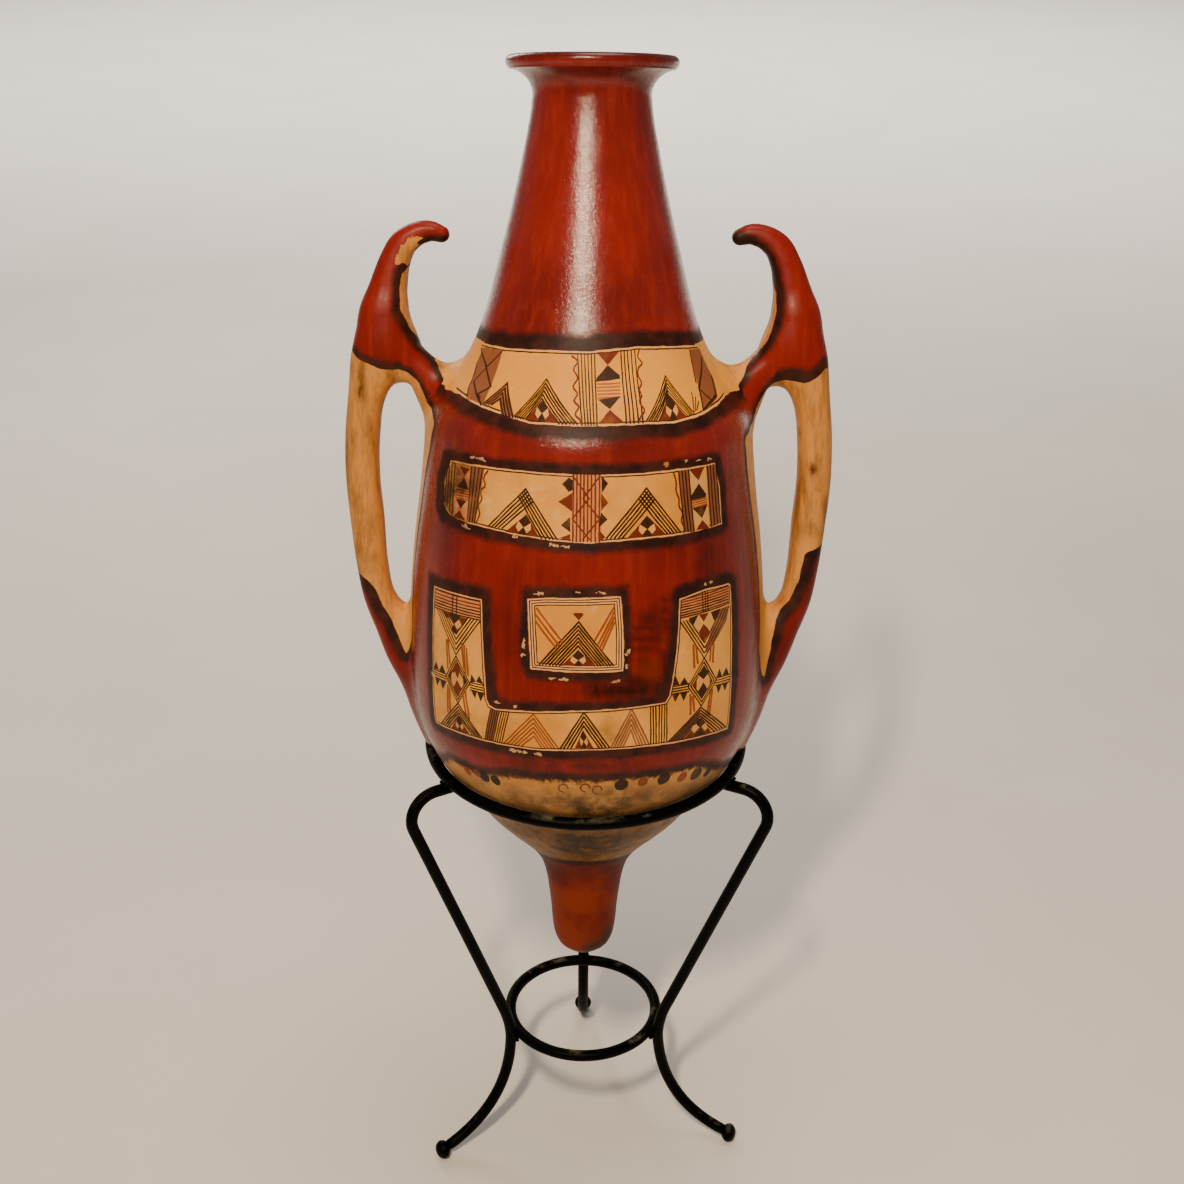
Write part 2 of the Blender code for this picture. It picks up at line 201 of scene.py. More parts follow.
def tube(line, side, roundEnd):  # a lofted bar of rounded sections; side is -1 left or 1 right
    rows = [tuple(r) for r in line]
    if roundEnd:
        last, before = np.array(rows[-1]), np.array(rows[-2])
        along = (last - before)[:2] / np.hypot(*(last - before)[:2])
        for degrees in (20, 40, 58, 74, 85):
            turn = math.radians(degrees)
            middle = last[:2] + along * last[2] * math.sin(turn)
            rows.append((*middle, last[2] * math.cos(turn), last[3] * math.cos(turn)))
    count = handle["sides"]
    turns = 2 * np.pi * np.arange(count) / count
    power = 2 / handle["squareness"]
    wide = np.sign(np.cos(turns)) * np.abs(np.cos(turns)) ** power
    deep = np.sign(np.sin(turns)) * np.abs(np.sin(turns)) ** power
    verts, faces = [], []
    for i, (out, height, halfWidth, halfDepth) in enumerate(rows):
        after, before = rows[min(i + 1, len(rows) - 1)], rows[max(i - 1, 0)]
        along = Vector((after[0] - before[0], after[1] - before[1])).normalized()
        for w, d in zip(wide, deep):
            verts.append((side * (out + along.y * w * halfWidth), -d * halfDepth,
                          height - along.x * w * halfWidth))
    for i in range(len(rows) - 1):
        for k in range(count):
            n = (k + 1) % count
            faces.append((i * count + k, i * count + n, (i + 1) * count + n, (i + 1) * count + k))
    faces.append(tuple(range(count)))
    faces.append(tuple(range(len(verts) - count, len(verts))))
    return verts, faces


def meshObject(name, verts, faces):  # an object with outward faces, in the scene
    mesh = bpy.data.meshes.new(name)
    mesh.from_pydata([tuple(v) for v in verts], [], faces)
    bm = bmesh.new()
    bm.from_mesh(mesh)
    bmesh.ops.recalc_face_normals(bm, faces=bm.faces)
    bm.to_mesh(mesh)
    bm.free()
    made = bpy.data.objects.new(name, mesh)
    bpy.context.scene.collection.objects.link(made)
    return made


def unite(first, second):  # the two closed shapes as one; both helpers are used up
    step = first.modifiers.new("join", "BOOLEAN")
    step.operation = "UNION"
    step.solver = "EXACT"
    step.object = second
    bpy.context.view_layer.update()
    mesh = bpy.data.meshes.new_from_object(first.evaluated_get(bpy.context.evaluated_depsgraph_get()))
    first.modifiers.clear()
    first.data = mesh
    bpy.data.objects.remove(second, do_unlink=True)
    return first


def nearestOnLine(points, line):  # squared distance to a line, with the nearest segment and share of it
    best = np.full(len(points), 1e18)
    segment = np.zeros(len(points), int)
    share = np.zeros(len(points))
    for k in range(len(line) - 1):
        a, b = line[k], line[k + 1]
        ab = b - a
        t = np.clip(((points - a) @ ab) / max(ab @ ab, 1e-12), 0, 1)
        away = points - a - t[:, None] * ab
        d = (away ** 2).sum(1)
        closer = d < best
        best[closer], segment[closer], share[closer] = d[closer], k, t[closer]
    return best, segment, share


def distanceToJar(points):  # mm outside the turned surface
    height = points[:, 2]
    slope = (radiusAt(height + 1) - radiusAt(height - 1)) / 2
    return (np.hypot(points[:, 0], points[:, 1]) - radiusAt(height)) / np.hypot(1, slope)


def distanceToBar(points, line):  # mm outside a bar of rounded sections
    flat = np.stack((np.abs(points[:, 0]), points[:, 2]), axis=1)
    d, k, t = nearestOnLine(flat, line[:, :2])
    half = line[k, 2:] * (1 - t[:, None]) + line[k + 1, 2:] * t[:, None]
    n = handle["squareness"]
    across, deep = np.sqrt(d), np.abs(points[:, 1])
    g = ((across / half[:, 0]) ** n + (deep / half[:, 1]) ** n) ** (1 / n)
    return np.hypot(across, deep) * (1 - 1 / np.maximum(g, 1e-6))


def blended(a, b, reach):  # a smooth union of two distances, with a fillet of that reach
    h = np.clip(0.5 + 0.5 * (b - a) / reach, 0, 1)
    return b * (1 - h) + a * h - reach * h * (1 - h)


def clayField(points):  # mm outside the clay, with fillets; and how much the fillets add
    body = distanceToJar(points)
    bar = distanceToBar(points, handleLine)
    bridge = distanceToBar(points, bridgeLine)
    grip = blended(bar, bridge, handle["filletAtBridge"])
    reach = np.where(points[:, 0] < 0, handle["filletAtJar"][-1], handle["filletAtJar"][1])
    whole = blended(body, grip, reach)
    return whole, np.minimum(np.minimum(body, bar), bridge) - whole, body, np.minimum(bar, bridge)


def fieldNormal(points, step=0.4):
    grad = np.zeros_like(points)
    for axis in range(3):
        shift = np.zeros(3)
        shift[axis] = step
        grad[:, axis] = (clayField(points + shift)[0] - clayField(points - shift)[0]) / (2 * step)
    size = np.linalg.norm(grad, axis=1, keepdims=True)
    return grad / np.maximum(size, 1e-9), size[:, 0]


# The painted fields. Panels are drawn on the unrolled front: u is the azimuth from the front in radians
# times 140, v the height on the axis, both in mm. The flanks and handles are drawn on a side chart, whose w
# is the distance round from the front, going on over the handle, in mm.
chartRadius = 140.0
seamDepth = 17.0  # how far in front of the axis plane the chart of the handle meets the jar's
noPaint = -60.0  # mm inside, for a place far from any paint

panels = [  # cream outline, then the outline of the black round it
    ([(-470, 306), (-200, 306), (-160, 304.5), (-130, 301.5), (-105, 298), (-75, 294.5), (-50, 290.5),
      (0, 290.5), (50, 291), (75, 290.5), (100, 293), (130, 297.5), (160, 302.5), (200, 304), (470, 304),
      (470, 340), (160, 340), (110, 342), (55, 343.5), (0, 340.5), (-50, 340.5), (-110, 339.5), (-160, 340),
      (-470, 340)],
     [(-470, 297), (-200, 297), (-160, 296), (-130, 292), (-105, 288), (-75, 284.5), (-50, 280.5), (0, 280),
      (50, 281), (75, 280.5), (100, 283.5), (130, 288), (160, 293.5), (200, 295), (470, 295), (470, 351),
      (160, 351), (110, 353), (55, 355), (0, 352.5), (-50, 352), (-110, 351), (-160, 351), (-470, 351)]),
    ([(-128, 256.5), (-135, 240), (-133, 222), (-125, 216), (-100, 213), (-60, 210), (-20, 207), (0, 206.5),
      (40, 208.5), (80, 209.5), (118, 212), (118, 240), (113, 258.5), (50, 257), (0, 256), (-50, 257),
      (-100, 257)],
     [(-140, 264), (-149, 244), (-148, 218), (-136, 208), (-100, 204.5), (-60, 202), (-20, 199), (0, 198.5),
      (40, 200.5), (80, 201.5), (118, 203.5), (126, 208), (126.5, 240), (122, 266.5), (50, 265), (0, 264),
      (-50, 265), (-100, 265)]),
    ([(-44.5, 163.5), (-41, 110.5), (0, 110), (27, 110.5), (27, 140), (25, 167.5), (0, 166.5), (-30, 165.5)],
     [(-50, 172), (-50.5, 135), (-47.5, 103), (0, 102.5), (32.5, 103.5), (33.5, 140), (31, 175.5),
      (0, 174.5), (-30, 173.5)]),
    ([(-137, 158.5), (-137, 100), (-140, 50), (-138, 47), (-110, 47), (-80, 46.5), (-40, 46), (0, 48),
      (50, 49), (100, 48.5), (127, 48), (125, 100), (124, 164), (121, 166), (95, 166), (71, 162), (69, 130),
      (66, 105), (63, 88), (60, 83.5), (20, 81.5), (-10, 80), (-40, 77.5), (-70, 75.5), (-75, 77), (-77, 82),
      (-79, 110), (-81, 140), (-82.5, 158.5)],
     [(-147, 168), (-146, 100), (-149.5, 50), (-148, 38.5), (-110, 38.5), (-60, 38), (0, 39.5), (60, 40.5),
      (110, 39.5), (136, 40), (135, 100), (133, 170), (124, 175.5), (93, 175.5), (64, 171), (61.5, 130),
      (58, 97), (52, 90), (20, 88.5), (-10, 87), (-40, 85), (-64, 83.5), (-68, 90), (-71, 115), (-73, 140),
      (-74.5, 168)]),
    ([(-470, -120), (470, -120), (470, -6), (200, -6), (150, 5), (120, 12), (100, 20), (60, 20), (20, 20),
      (-20, 19), (-60, 18), (-80, 15), (-100, 12), (-130, 16), (-150, 8), (-200, -6), (-470, -6)],
     [(-470, -120), (470, -120), (470, 3), (200, 3), (150, 14), (120, 21), (100, 28), (60, 28.5), (20, 28.5),
      (-20, 27.5), (-60, 27), (-80, 24), (-100, 21), (-130, 25), (-150, 17), (-200, 3), (-470, 3)]),
]

hornEdges = {  # x and height of the cream's edge on the horn's inner side
    -1: [(60, 394), (60, 303), (104, 303), (113, 313), (122, 324), (132, 337), (141, 349), (146.5, 362),
         (147.5, 375), (146, 388), (141, 394)],
    1: [(60, 392), (60, 306), (110, 306), (117, 313), (125, 324), (133, 333), (139, 343), (142.5, 353),
        (144.5, 365), (144, 377), (141, 387), (136, 392)],
}
hornTips = {  # the black that goes on under the tips, past the cream
    -1: [(60, 413), (60, 370), (143, 370), (142, 388), (140, 398), (134, 407), (125, 412.5), (108, 413)],
    1: [(60, 418), (60, 370), (142, 370), (141, 390), (137, 402), (132, 409), (122, 415), (110, 418)],
}

flankOnHandle = {  # the cream of flank and bar: x and height, from the handle's top outer corner inwards
    -1: [(210, 336), (200, 333), (186, 330), (180, 324), (170, 320), (163, 317), (155, 316), (148, 316.5),
         (140, 313), (133, 306), (127, 298), (123, 290)],
    1: [(210, 322), (184, 320), (177, 313), (170, 309), (160, 310), (152, 311), (145, 309), (140, 303),
        (133, 296), (129, 288), (127, 278)],
}
flankOnJar = {  # its edge down the jar's side: u and height
    -1: [(166, 280), (170, 262), (180, 240), (184, 215), (187, 190), (189, 160), (189, 130), (188, 110)],
    1: [(166, 270), (168, 250), (171, 230), (174, 210), (177, 180), (179, 150), (180, 120), (181, 96)],
}
flankUnder = {  # and its edge back up over the handle's lower part
    -1: [(143, 86), (147, 92), (152, 103), (158, 115), (165, 125), (170, 138), (176, 146), (186, 152),
         (210, 156)],
    1: [(140, 68), (145, 90), (150, 115), (155, 125), (163, 133), (170, 150), (174, 172), (188, 178),
        (210, 182)],
}


def seamShift(height):  # what turns x over a handle into w: both agree at the seam's depth
    radius = np.maximum(radiusAt(height), 30.0)
    return radius * np.arccos(seamDepth / radius) - np.sqrt(radius ** 2 - seamDepth ** 2)


def onHandleChart(points):
    return [(x + float(seamShift(v)), v) for x, v in points]


def onJarChart(points):
    return [(u * float(radiusAt(v)) / chartRadius, v) for u, v in points]


flankShapes = {side: onHandleChart(flankOnHandle[side]) + onJarChart(flankOnJar[side])
               + onHandleChart(flankUnder[side]) for side in (-1, 1)}
hornShapes = {side: onHandleChart(hornEdges[side]) for side in (-1, 1)}
tipShapes = {side: onHandleChart(hornTips[side]) for side in (-1, 1)}


def insideBy(points, outline):  # mm inside a closed outline, negative outside it
    ring = np.array(outline, float)
    best = np.full(len(points), 1e18)
    odd = np.zeros(len(points), bool)
    for a, b in zip(ring, np.roll(ring, -1, axis=0)):
        ab = b - a
        t = np.clip(((points - a) @ ab) / max(ab @ ab, 1e-12), 0, 1)
        away = points - a - t[:, None] * ab
        best = np.minimum(best, (away ** 2).sum(1))
        crosses = (a[1] > points[:, 1]) != (b[1] > points[:, 1])
        if a[1] != b[1]:
            odd ^= crosses & (points[:, 0] < a[0] + (points[:, 1] - a[1]) / (b[1] - a[1]) * ab[0])
    return np.sqrt(best) * np.where(odd, 1, -1)


stainsAndShade = [  # u, height, half width, half height and strength: brown above the girth, grey below it
    (50, 146, 12, 16, 0.6), (26, 97, 24, 6, 0.6), (96, 187, 16, 14, 0.3), (-62, 276, 60, 5, 0.3),
    (60, 276, 55, 5, 0.25), (20, 34, 90, 4, 0.6), (16, 60, 9, 12, 0.55), (12, -12, 30, 24, 0.75),
    (-60, 0, 45, 9, 0.5), (84, -6, 40, 14, 0.6), (-20, -58, 34, 12, 0.9), (26, -62, 30, 12, 0.75),
    (-100, -40, 60, 20, 0.5), (110, -40, 60, 20, 0.55), (98, -171, 50, 9, 3.2), (-90, -95, 60, 9, 0.3),
    # the two at height 236 on the shoulder panel's left end and the one at -112, 100 on the lower left arm
    # are painted shade
    (-127, 236, 13, 24, 1.0), (-110, 236, 18, 24, 0.55),
    (-112, 100, 26, 60, 0.22), (-60, 60, 50, 12, 0.2),
]
smears = [  # from, to, half width and strength of the brown strokes over the red
    ((36, 141), (58, 163), 1.6, 0.7), ((36, 134), (60, 157), 1.5, 0.8), ((37, 127), (61, 150), 1.6, 0.75),
    ((37, 120), (61, 143), 1.5, 0.6), ((38, 114), (60, 133), 1.6, 0.45), ((36, 140), (44, 112), 3.0, 0.4),
    ((6, 96.5), (60, 94.0), 5.5, 1.0), ((30, 104), (60, 92), 4.5, 0.8), ((58, 122), (60, 92), 2.6, 0.8),
    ((96, 196), (96.5, 176), 1.4, 0.6), ((102, 198), (102, 174), 1.2, 0.5),
    ((108, 196), (108, 180), 1.2, 0.45), ((-6, 197), (-5.5, 182), 1.1, 0.6),
    ((4, 197), (4.5, 180), 1.1, 0.55), ((-62, 173), (-60, 120), 3.0, 0.35),
]
# the long marks along both edges of each bar, at x 168 and 190 either side, are painted shade
handleMarks = [  # x, height, half width, half height and strength of dark marks on the bars' front
    (-178.5, 301, 1.6, 9, 1.4), (165, 268.5, 2.6, 2.6, 1.3), (177.5, 240, 2.0, 3.2, 1.4),
    (182, 225, 1.6, 1.8, 0.9), (178, 191, 6, 5, 0.6), (-185, 150, 7, 8, 0.5), (-190, 250, 4, 40, 0.35),
    (-168, 200, 3, 40, 0.3), (190, 215, 4, 40, 0.35), (168, 222, 3, 40, 0.3), (-176, 160, 8, 6, 0.4),
    (-187, 318, 6, 5, 0.35),
]
hornFlake = [(-150, 397), (-139, 397), (-136, 406), (-133, 412), (-129, 416.5), (-136, 418), (-143, 414),
             (-149, 405)]


def paintFields(points):  # mm inside cream and black, stain and painted shade, share of bar, mm inside the flake, smear
    body, bar = clayField(points)[2:]
    side = np.where(points[:, 0] < 0, -1, 1)
    reach = np.where(side < 0, handle["filletAtJar"][-1], handle["filletAtJar"][1])
    jarShare = np.clip(0.5 + 0.5 * (bar - body) / reach, 0, 1)
    azimuth = np.arctan2(points[:, 0], -points[:, 1])
    height = points[:, 2]
    radius = radiusAt(height)
    unrolled = np.stack((azimuth * chartRadius, height), axis=1)
    folded = np.minimum(np.abs(azimuth), np.pi - np.abs(azimuth))
    w = jarShare * radius * folded + (1 - jarShare) * (np.abs(points[:, 0]) + seamShift(height))
    sideChart = np.stack((w, height), axis=1)
    cream = np.full(len(points), noPaint)
    black = np.full(len(points), noPaint)
    onBody = jarShare > 0.5
    for creamOutline, blackOutline in panels:
        cream = np.where(onBody, np.maximum(cream, insideBy(unrolled, creamOutline)), cream)
        black = np.where(onBody, np.maximum(black, insideBy(unrolled, blackOutline)), black)
    nearHandle = (jarShare < 0.999) | ((height < 341) & (np.abs(azimuth) > 1.0))
    notNeck = nearHandle & ~(onBody & (height > 341))
    for s in (-1, 1):
        flank = insideBy(sideChart, flankShapes[s])
        horn = insideBy(sideChart, hornShapes[s])
        tip = insideBy(sideChart, tipShapes[s])
        flankWidth = np.where(np.abs(points[:, 0]) > 145, 8.5 + 1.8 * s, 5)
        flankWidth = np.where(height < 190, 5 + 5 * (1 - jarShare), flankWidth)
        here = notNeck & (side == s)
        cream = np.where(here, np.maximum(cream, np.maximum(flank, horn)), cream)
        black = np.where(here, np.maximum(black, np.maximum(flank + flankWidth,
                                                            np.maximum(horn, tip) + 6.5)), black)
    stainAndShade = np.zeros(len(points))
    for u, v, wide, high, strength in stainsAndShade:
        stainAndShade += strength * np.exp(-0.5 * (((unrolled[:, 0] - u) / wide) ** 2 + ((height - v) / high) ** 2))
    smear = np.zeros(len(points))
    for a, b, reach, strength in smears:
        ab = np.array(b, float) - a
        along = np.clip((unrolled - a) @ ab / (ab @ ab), 0, 1)
        away = np.linalg.norm(unrolled - a - along[:, None] * ab, axis=1)
        smear = np.maximum(smear, strength * np.exp(-0.5 * (away / reach) ** 2) * (np.abs(azimuth) < 1.5))
    front = points[:, 1] < 4
    for x, v, wide, high, strength in handleMarks:
        near = np.exp(-0.5 * (((points[:, 0] - x) / wide) ** 2 + ((height - v) / high) ** 2))
        stainAndShade += strength * near * front * (jarShare < 0.5)
    flaked = np.stack((points[:, 0], height), axis=1)
    rubbed = np.where(front, insideBy(flaked, hornFlake), noPaint)
    return cream, black, stainAndShade, 1 - jarShare, rubbed, smear


# The line ornament, drawn as strips and patches on the unrolled front, later marks over earlier ones
pigments = {  # colour and how much it covers
    "black": ("#21100c", 0.97), "line": ("#140807", 0.97), "darkRed": ("#5c120c", 0.95),
    "red": ("#7c2412", 0.85), "orange": ("#9c4218", 0.85), "wash": ("#5a222c", 0.8),
    "tint": ("#c07048", 0.75), "cream": ("#d79c54", 0.95), "chip": ("#c79a6e", 0.95),
    # smear is used only as painted shade, over the shoulder panel's left end
    "ochre": ("#b57a30", 0.9), "smear": ("#2e0f08", 0.55), "pale": ("#dfa478", 0.8),
    "shade": ("#4a2416", 0.55),
}
pigmentNames = list(pigments)
brush = random.Random(11)
marks = []


def shake(amount):
    return brush.uniform(-amount, amount)


def addMark(pigment, outline):  # keeps a closed outline, counter-clockwise
    area = sum(a[0] * b[1] - b[0] * a[1] for a, b in zip(outline, outline[1:] + outline[:1]))
    marks.append((pigmentNames.index(pigment), outline if area > 0 else outline[::-1]))


def stroke(points, pigment="line", width=1.3):  # a brush line with a slightly uneven edge
    for a, b in zip(points, points[1:]):
        a, b = np.array(a, float), np.array(b, float)
        long = np.hypot(*(b - a))
        along = (b - a) / max(long, 1e-6)
        across = np.array((-along[1], along[0]))
        parts = max(int(math.ceil(long / 6)), 1)
        left, right = [], []
        start, end = a - along * 0.3 * width, b + along * 0.3 * width
        for i in range(parts + 1):
            middle = start + (end - start) * i / parts + across * shake(0.16)
            half = 0.5 * width * (1 + shake(0.16))
            left.append(tuple(middle + across * half))
            right.append(tuple(middle - across * half))
        addMark(pigment, right + left[::-1])


def patch(points, pigment):  # a filled shape with slightly uneven sides
    outline = []
    for a, b in zip(points, points[1:] + points[:1]):
        parts = max(int(math.ceil(math.hypot(b[0] - a[0], b[1] - a[1]) / 5)), 1)
        for i in range(parts):
            t = i / parts
            outline.append((a[0] + (b[0] - a[0]) * t + shake(0.2), a[1] + (b[1] - a[1]) * t + shake(0.2)))
    addMark(pigment, outline)


def patches(shapes):  # filled shapes, each with its pigment
    for pigment, points in shapes:
        patch(points, pigment)


def blob(u, v, wide, high, pigment, rough=0.06):  # a dot or a chip
    count = 14
    outline = []
    for k in range(count):
        turn = 2 * math.pi * k / count
        size = 1 + shake(rough)
        outline.append((u + wide * size * math.cos(turn), v + high * size * math.sin(turn)))
    addMark(pigment, outline)


def wavy(points):  # a scalloped dark red brush line
    stroke([tuple(p) for p in smoothThrough(points, 2.2)], "darkRed", 1.5)


def crumbs(u, v, wide, high, pigment):  # a flaked place: a few ragged bits
    for _ in range(max(3, int(wide * 1.3))):
        blob(u + shake(wide), v + shake(high * 0.7), 0.5 + brush.random() * min(wide, 2.6) * 0.6,
             0.35 + brush.random() * high * 0.6, pigment, 0.55)


def hatch(starts, ends, pigment="line", width=1.3):
    for a, b in zip(starts, ends):
        stroke([a, b], pigment, width)


def spread(first, last, count):  # count points in a row from the first to the last
    return [(first[0] + (last[0] - first[0]) * i / (count - 1),
             first[1] + (last[1] - first[1]) * i / (count - 1))
            for i in range(count)]


def rim(outline, inset, pigment, width):  # a thin line a little inside a closed outline
    ring = np.array(outline, float)
    before, after = ring - np.roll(ring, 1, axis=0), np.roll(ring, -1, axis=0) - ring
    before /= np.linalg.norm(before, axis=1, keepdims=True)
    after /= np.linalg.norm(after, axis=1, keepdims=True)
    inward = np.stack((-before[:, 1] - after[:, 1], before[:, 0] + after[:, 0]), axis=1)
    inward /= np.maximum((inward ** 2).sum(1, keepdims=True) * 0.5, 0.3)
    area = (ring[:, 0] * np.roll(ring[:, 1], -1) - np.roll(ring[:, 0], -1) * ring[:, 1]).sum()
    moved = ring + inward * inset * (1 if area > 0 else -1)
    stroke([tuple(p) for p in moved] + [tuple(moved[0])], pigment, width)


def meet(a, b, c, d):  # where the line a-b crosses the line c-d
    a, b, c, d = (np.array(p, float) for p in (a, b, c, d))
    u, v = b - a, d - c
    t = ((c - a)[0] * v[1] - (c - a)[1] * v[0]) / (u[0] * v[1] - u[1] * v[0])
    return tuple(a + u * t)


def chevron(apex, left, right, count, drop, inLeft, inRight=None, pigment="line", width=1.4, crossed=False):
    inRight = inLeft if inRight is None else inRight
    for i in range(count):
        top = (apex[0], apex[1] - drop * i)
        footLeft, footRight = (left[0] + inLeft * i, left[1]), (right[0] - inRight * i, right[1])
        topLeft, topRight = top, top
        if crossed and i:
            topLeft = meet(footLeft, top, apex, right)
            topRight = meet(footRight, top, apex, left)
        stroke([footLeft, topLeft], pigment, width)
        stroke([footRight, topRight], pigment, width)


def heart(apex, left, right):  # the small triangle under a chevron, with its diamonds
    middle = ((left[0] + right[0]) / 2, (left[1] + right[1]) / 2)

    def at(x, y):
        return (middle[0] + x * (right[0] - left[0]) / 2 + y * (apex[0] - middle[0]),
                middle[1] + x * (right[1] - left[1]) / 2 + y * (apex[1] - middle[1]))
    patch([at(0, 1), at(-1, 0), at(1, 0)], "darkRed")
    patch([at(0, 1), at(-0.33, 0.62), at(0, 0.38), at(0.33, 0.62)], "black")
    for s in (-1, 1):
        patch([at(0.36 * s, 0.6), at(0.02 * s, 0.36), at(0.25 * s, 0.12), at(0.44 * s, 0.32)], "cream")
    patch([at(0, 0.36), at(-0.26, 0), at(0.26, 0)], "black")


def paintNeckBand():
    edges = [(u, v) for u, v in panels[0][0] if abs(u) <= 160]
    for inset, pigment, width in ((0.7, "pale", 0.95), (1.9, "line", 1.0)):
        stroke([(u, v - inset) for u, v in edges if v > 330], pigment, width)
        stroke([(u, v + inset) for u, v in edges if v < 310], pigment, width)
    patch([(-155, 337), (-112, 338), (-104, 300), (-131, 302), (-145, 318), (-152, 330)], "wash")
    for way in ([(-158, 336), (-130, 325.5), (-106, 312)],
                [(-111, 338), (-128, 324), (-136, 313.5), (-106, 299.5)],
                [(-150, 331), (-151, 326), (-143, 318), (-139, 310), (-131, 303)],
                [(-106, 312), (-118, 306), (-112, 303.5)]):
        stroke(way, "line", 1.6)
    patch([(138, 338), (165, 337), (160, 315), (143, 303), (112, 296), (123, 312)], "wash")
    for way in ([(112, 297), (122, 311), (160, 331)], [(122, 311), (131, 302)],
                [(112, 297), (143, 305), (160, 318)],
                [(138, 338), (123, 315)]):
        stroke(way, "line", 1.6)
    hatch(spread((-13.5, 339), (5.8, 339), 6), spread((-5.5, 291), (6.8, 291), 6), "line", 1.35)
    wavy([(-20, 337), (-13, 333), (-17, 328), (-12, 322), (-16, 316), (-11, 311), (-14, 307), (-9, 303),
          (-12, 298), (-7, 294), (-6, 291)])
    patch([(8, 340), (34, 340), (20, 331)], "darkRed")
    patch([(20, 331), (7, 322), (7, 319.5), (32, 321.5), (32, 324)], "black")
    hatch(spread((8, 318), (8, 309), 5), spread((31, 318.5), (29.5, 309.5), 5), "orange", 1.2)
    patch([(8, 308), (30, 310), (18.5, 301.5)], "black")
    patch([(18.5, 301.5), (8, 292.5), (30, 292.5)], "darkRed")
    hatch([(u, 341) for u in (36.5, 40.5, 44.5, 49, 53.5)], [(u, 292) for u in (31.5, 34.8, 38.2, 42, 46)],
          "line", 1.5)
    wavy([(59, 341), (56, 336), (60, 332), (54, 328), (52, 324), (54, 318), (50, 314), (51, 310), (47, 306),
          (50, 300), (45, 296), (43, 293)])
    chevron((-44.5, 320.5), (-67, 293.5), (-9.5, 291.5), 6, 2.6, 2.4, 3.0)
    heart((-43, 307.5), (-54.5, 293), (-26, 291.8))
    chevron((-87.5, 315.5), (-104, 300.5), (-67, 294), 4, 3.4, 3.2, 3.2, "wash", 2.4)
    chevron((-87.5, 315.5), (-104, 300.5), (-67, 294), 4, 3.4, 3.2, 3.2, "line", 1.4)
    heart((79.5, 309), (61, 292.5), (90, 293.5))
    for i in range(6):
        top = ((84.5, 84, 83, 82, 80.5, 79.5)[i], 322 - 2.5 * i)
        stroke([(49 + 2.4 * i, 293), top, ((99.5, 98, 96.5, 95, 93.5, 91)[i], 296 - 0.4 * i)], "line", 1.15)
    hatch([(100, 296.5), (102, 297), (104, 297.5)], [(109, 309.5), (110.5, 306), (112, 303)], "line", 1.0)


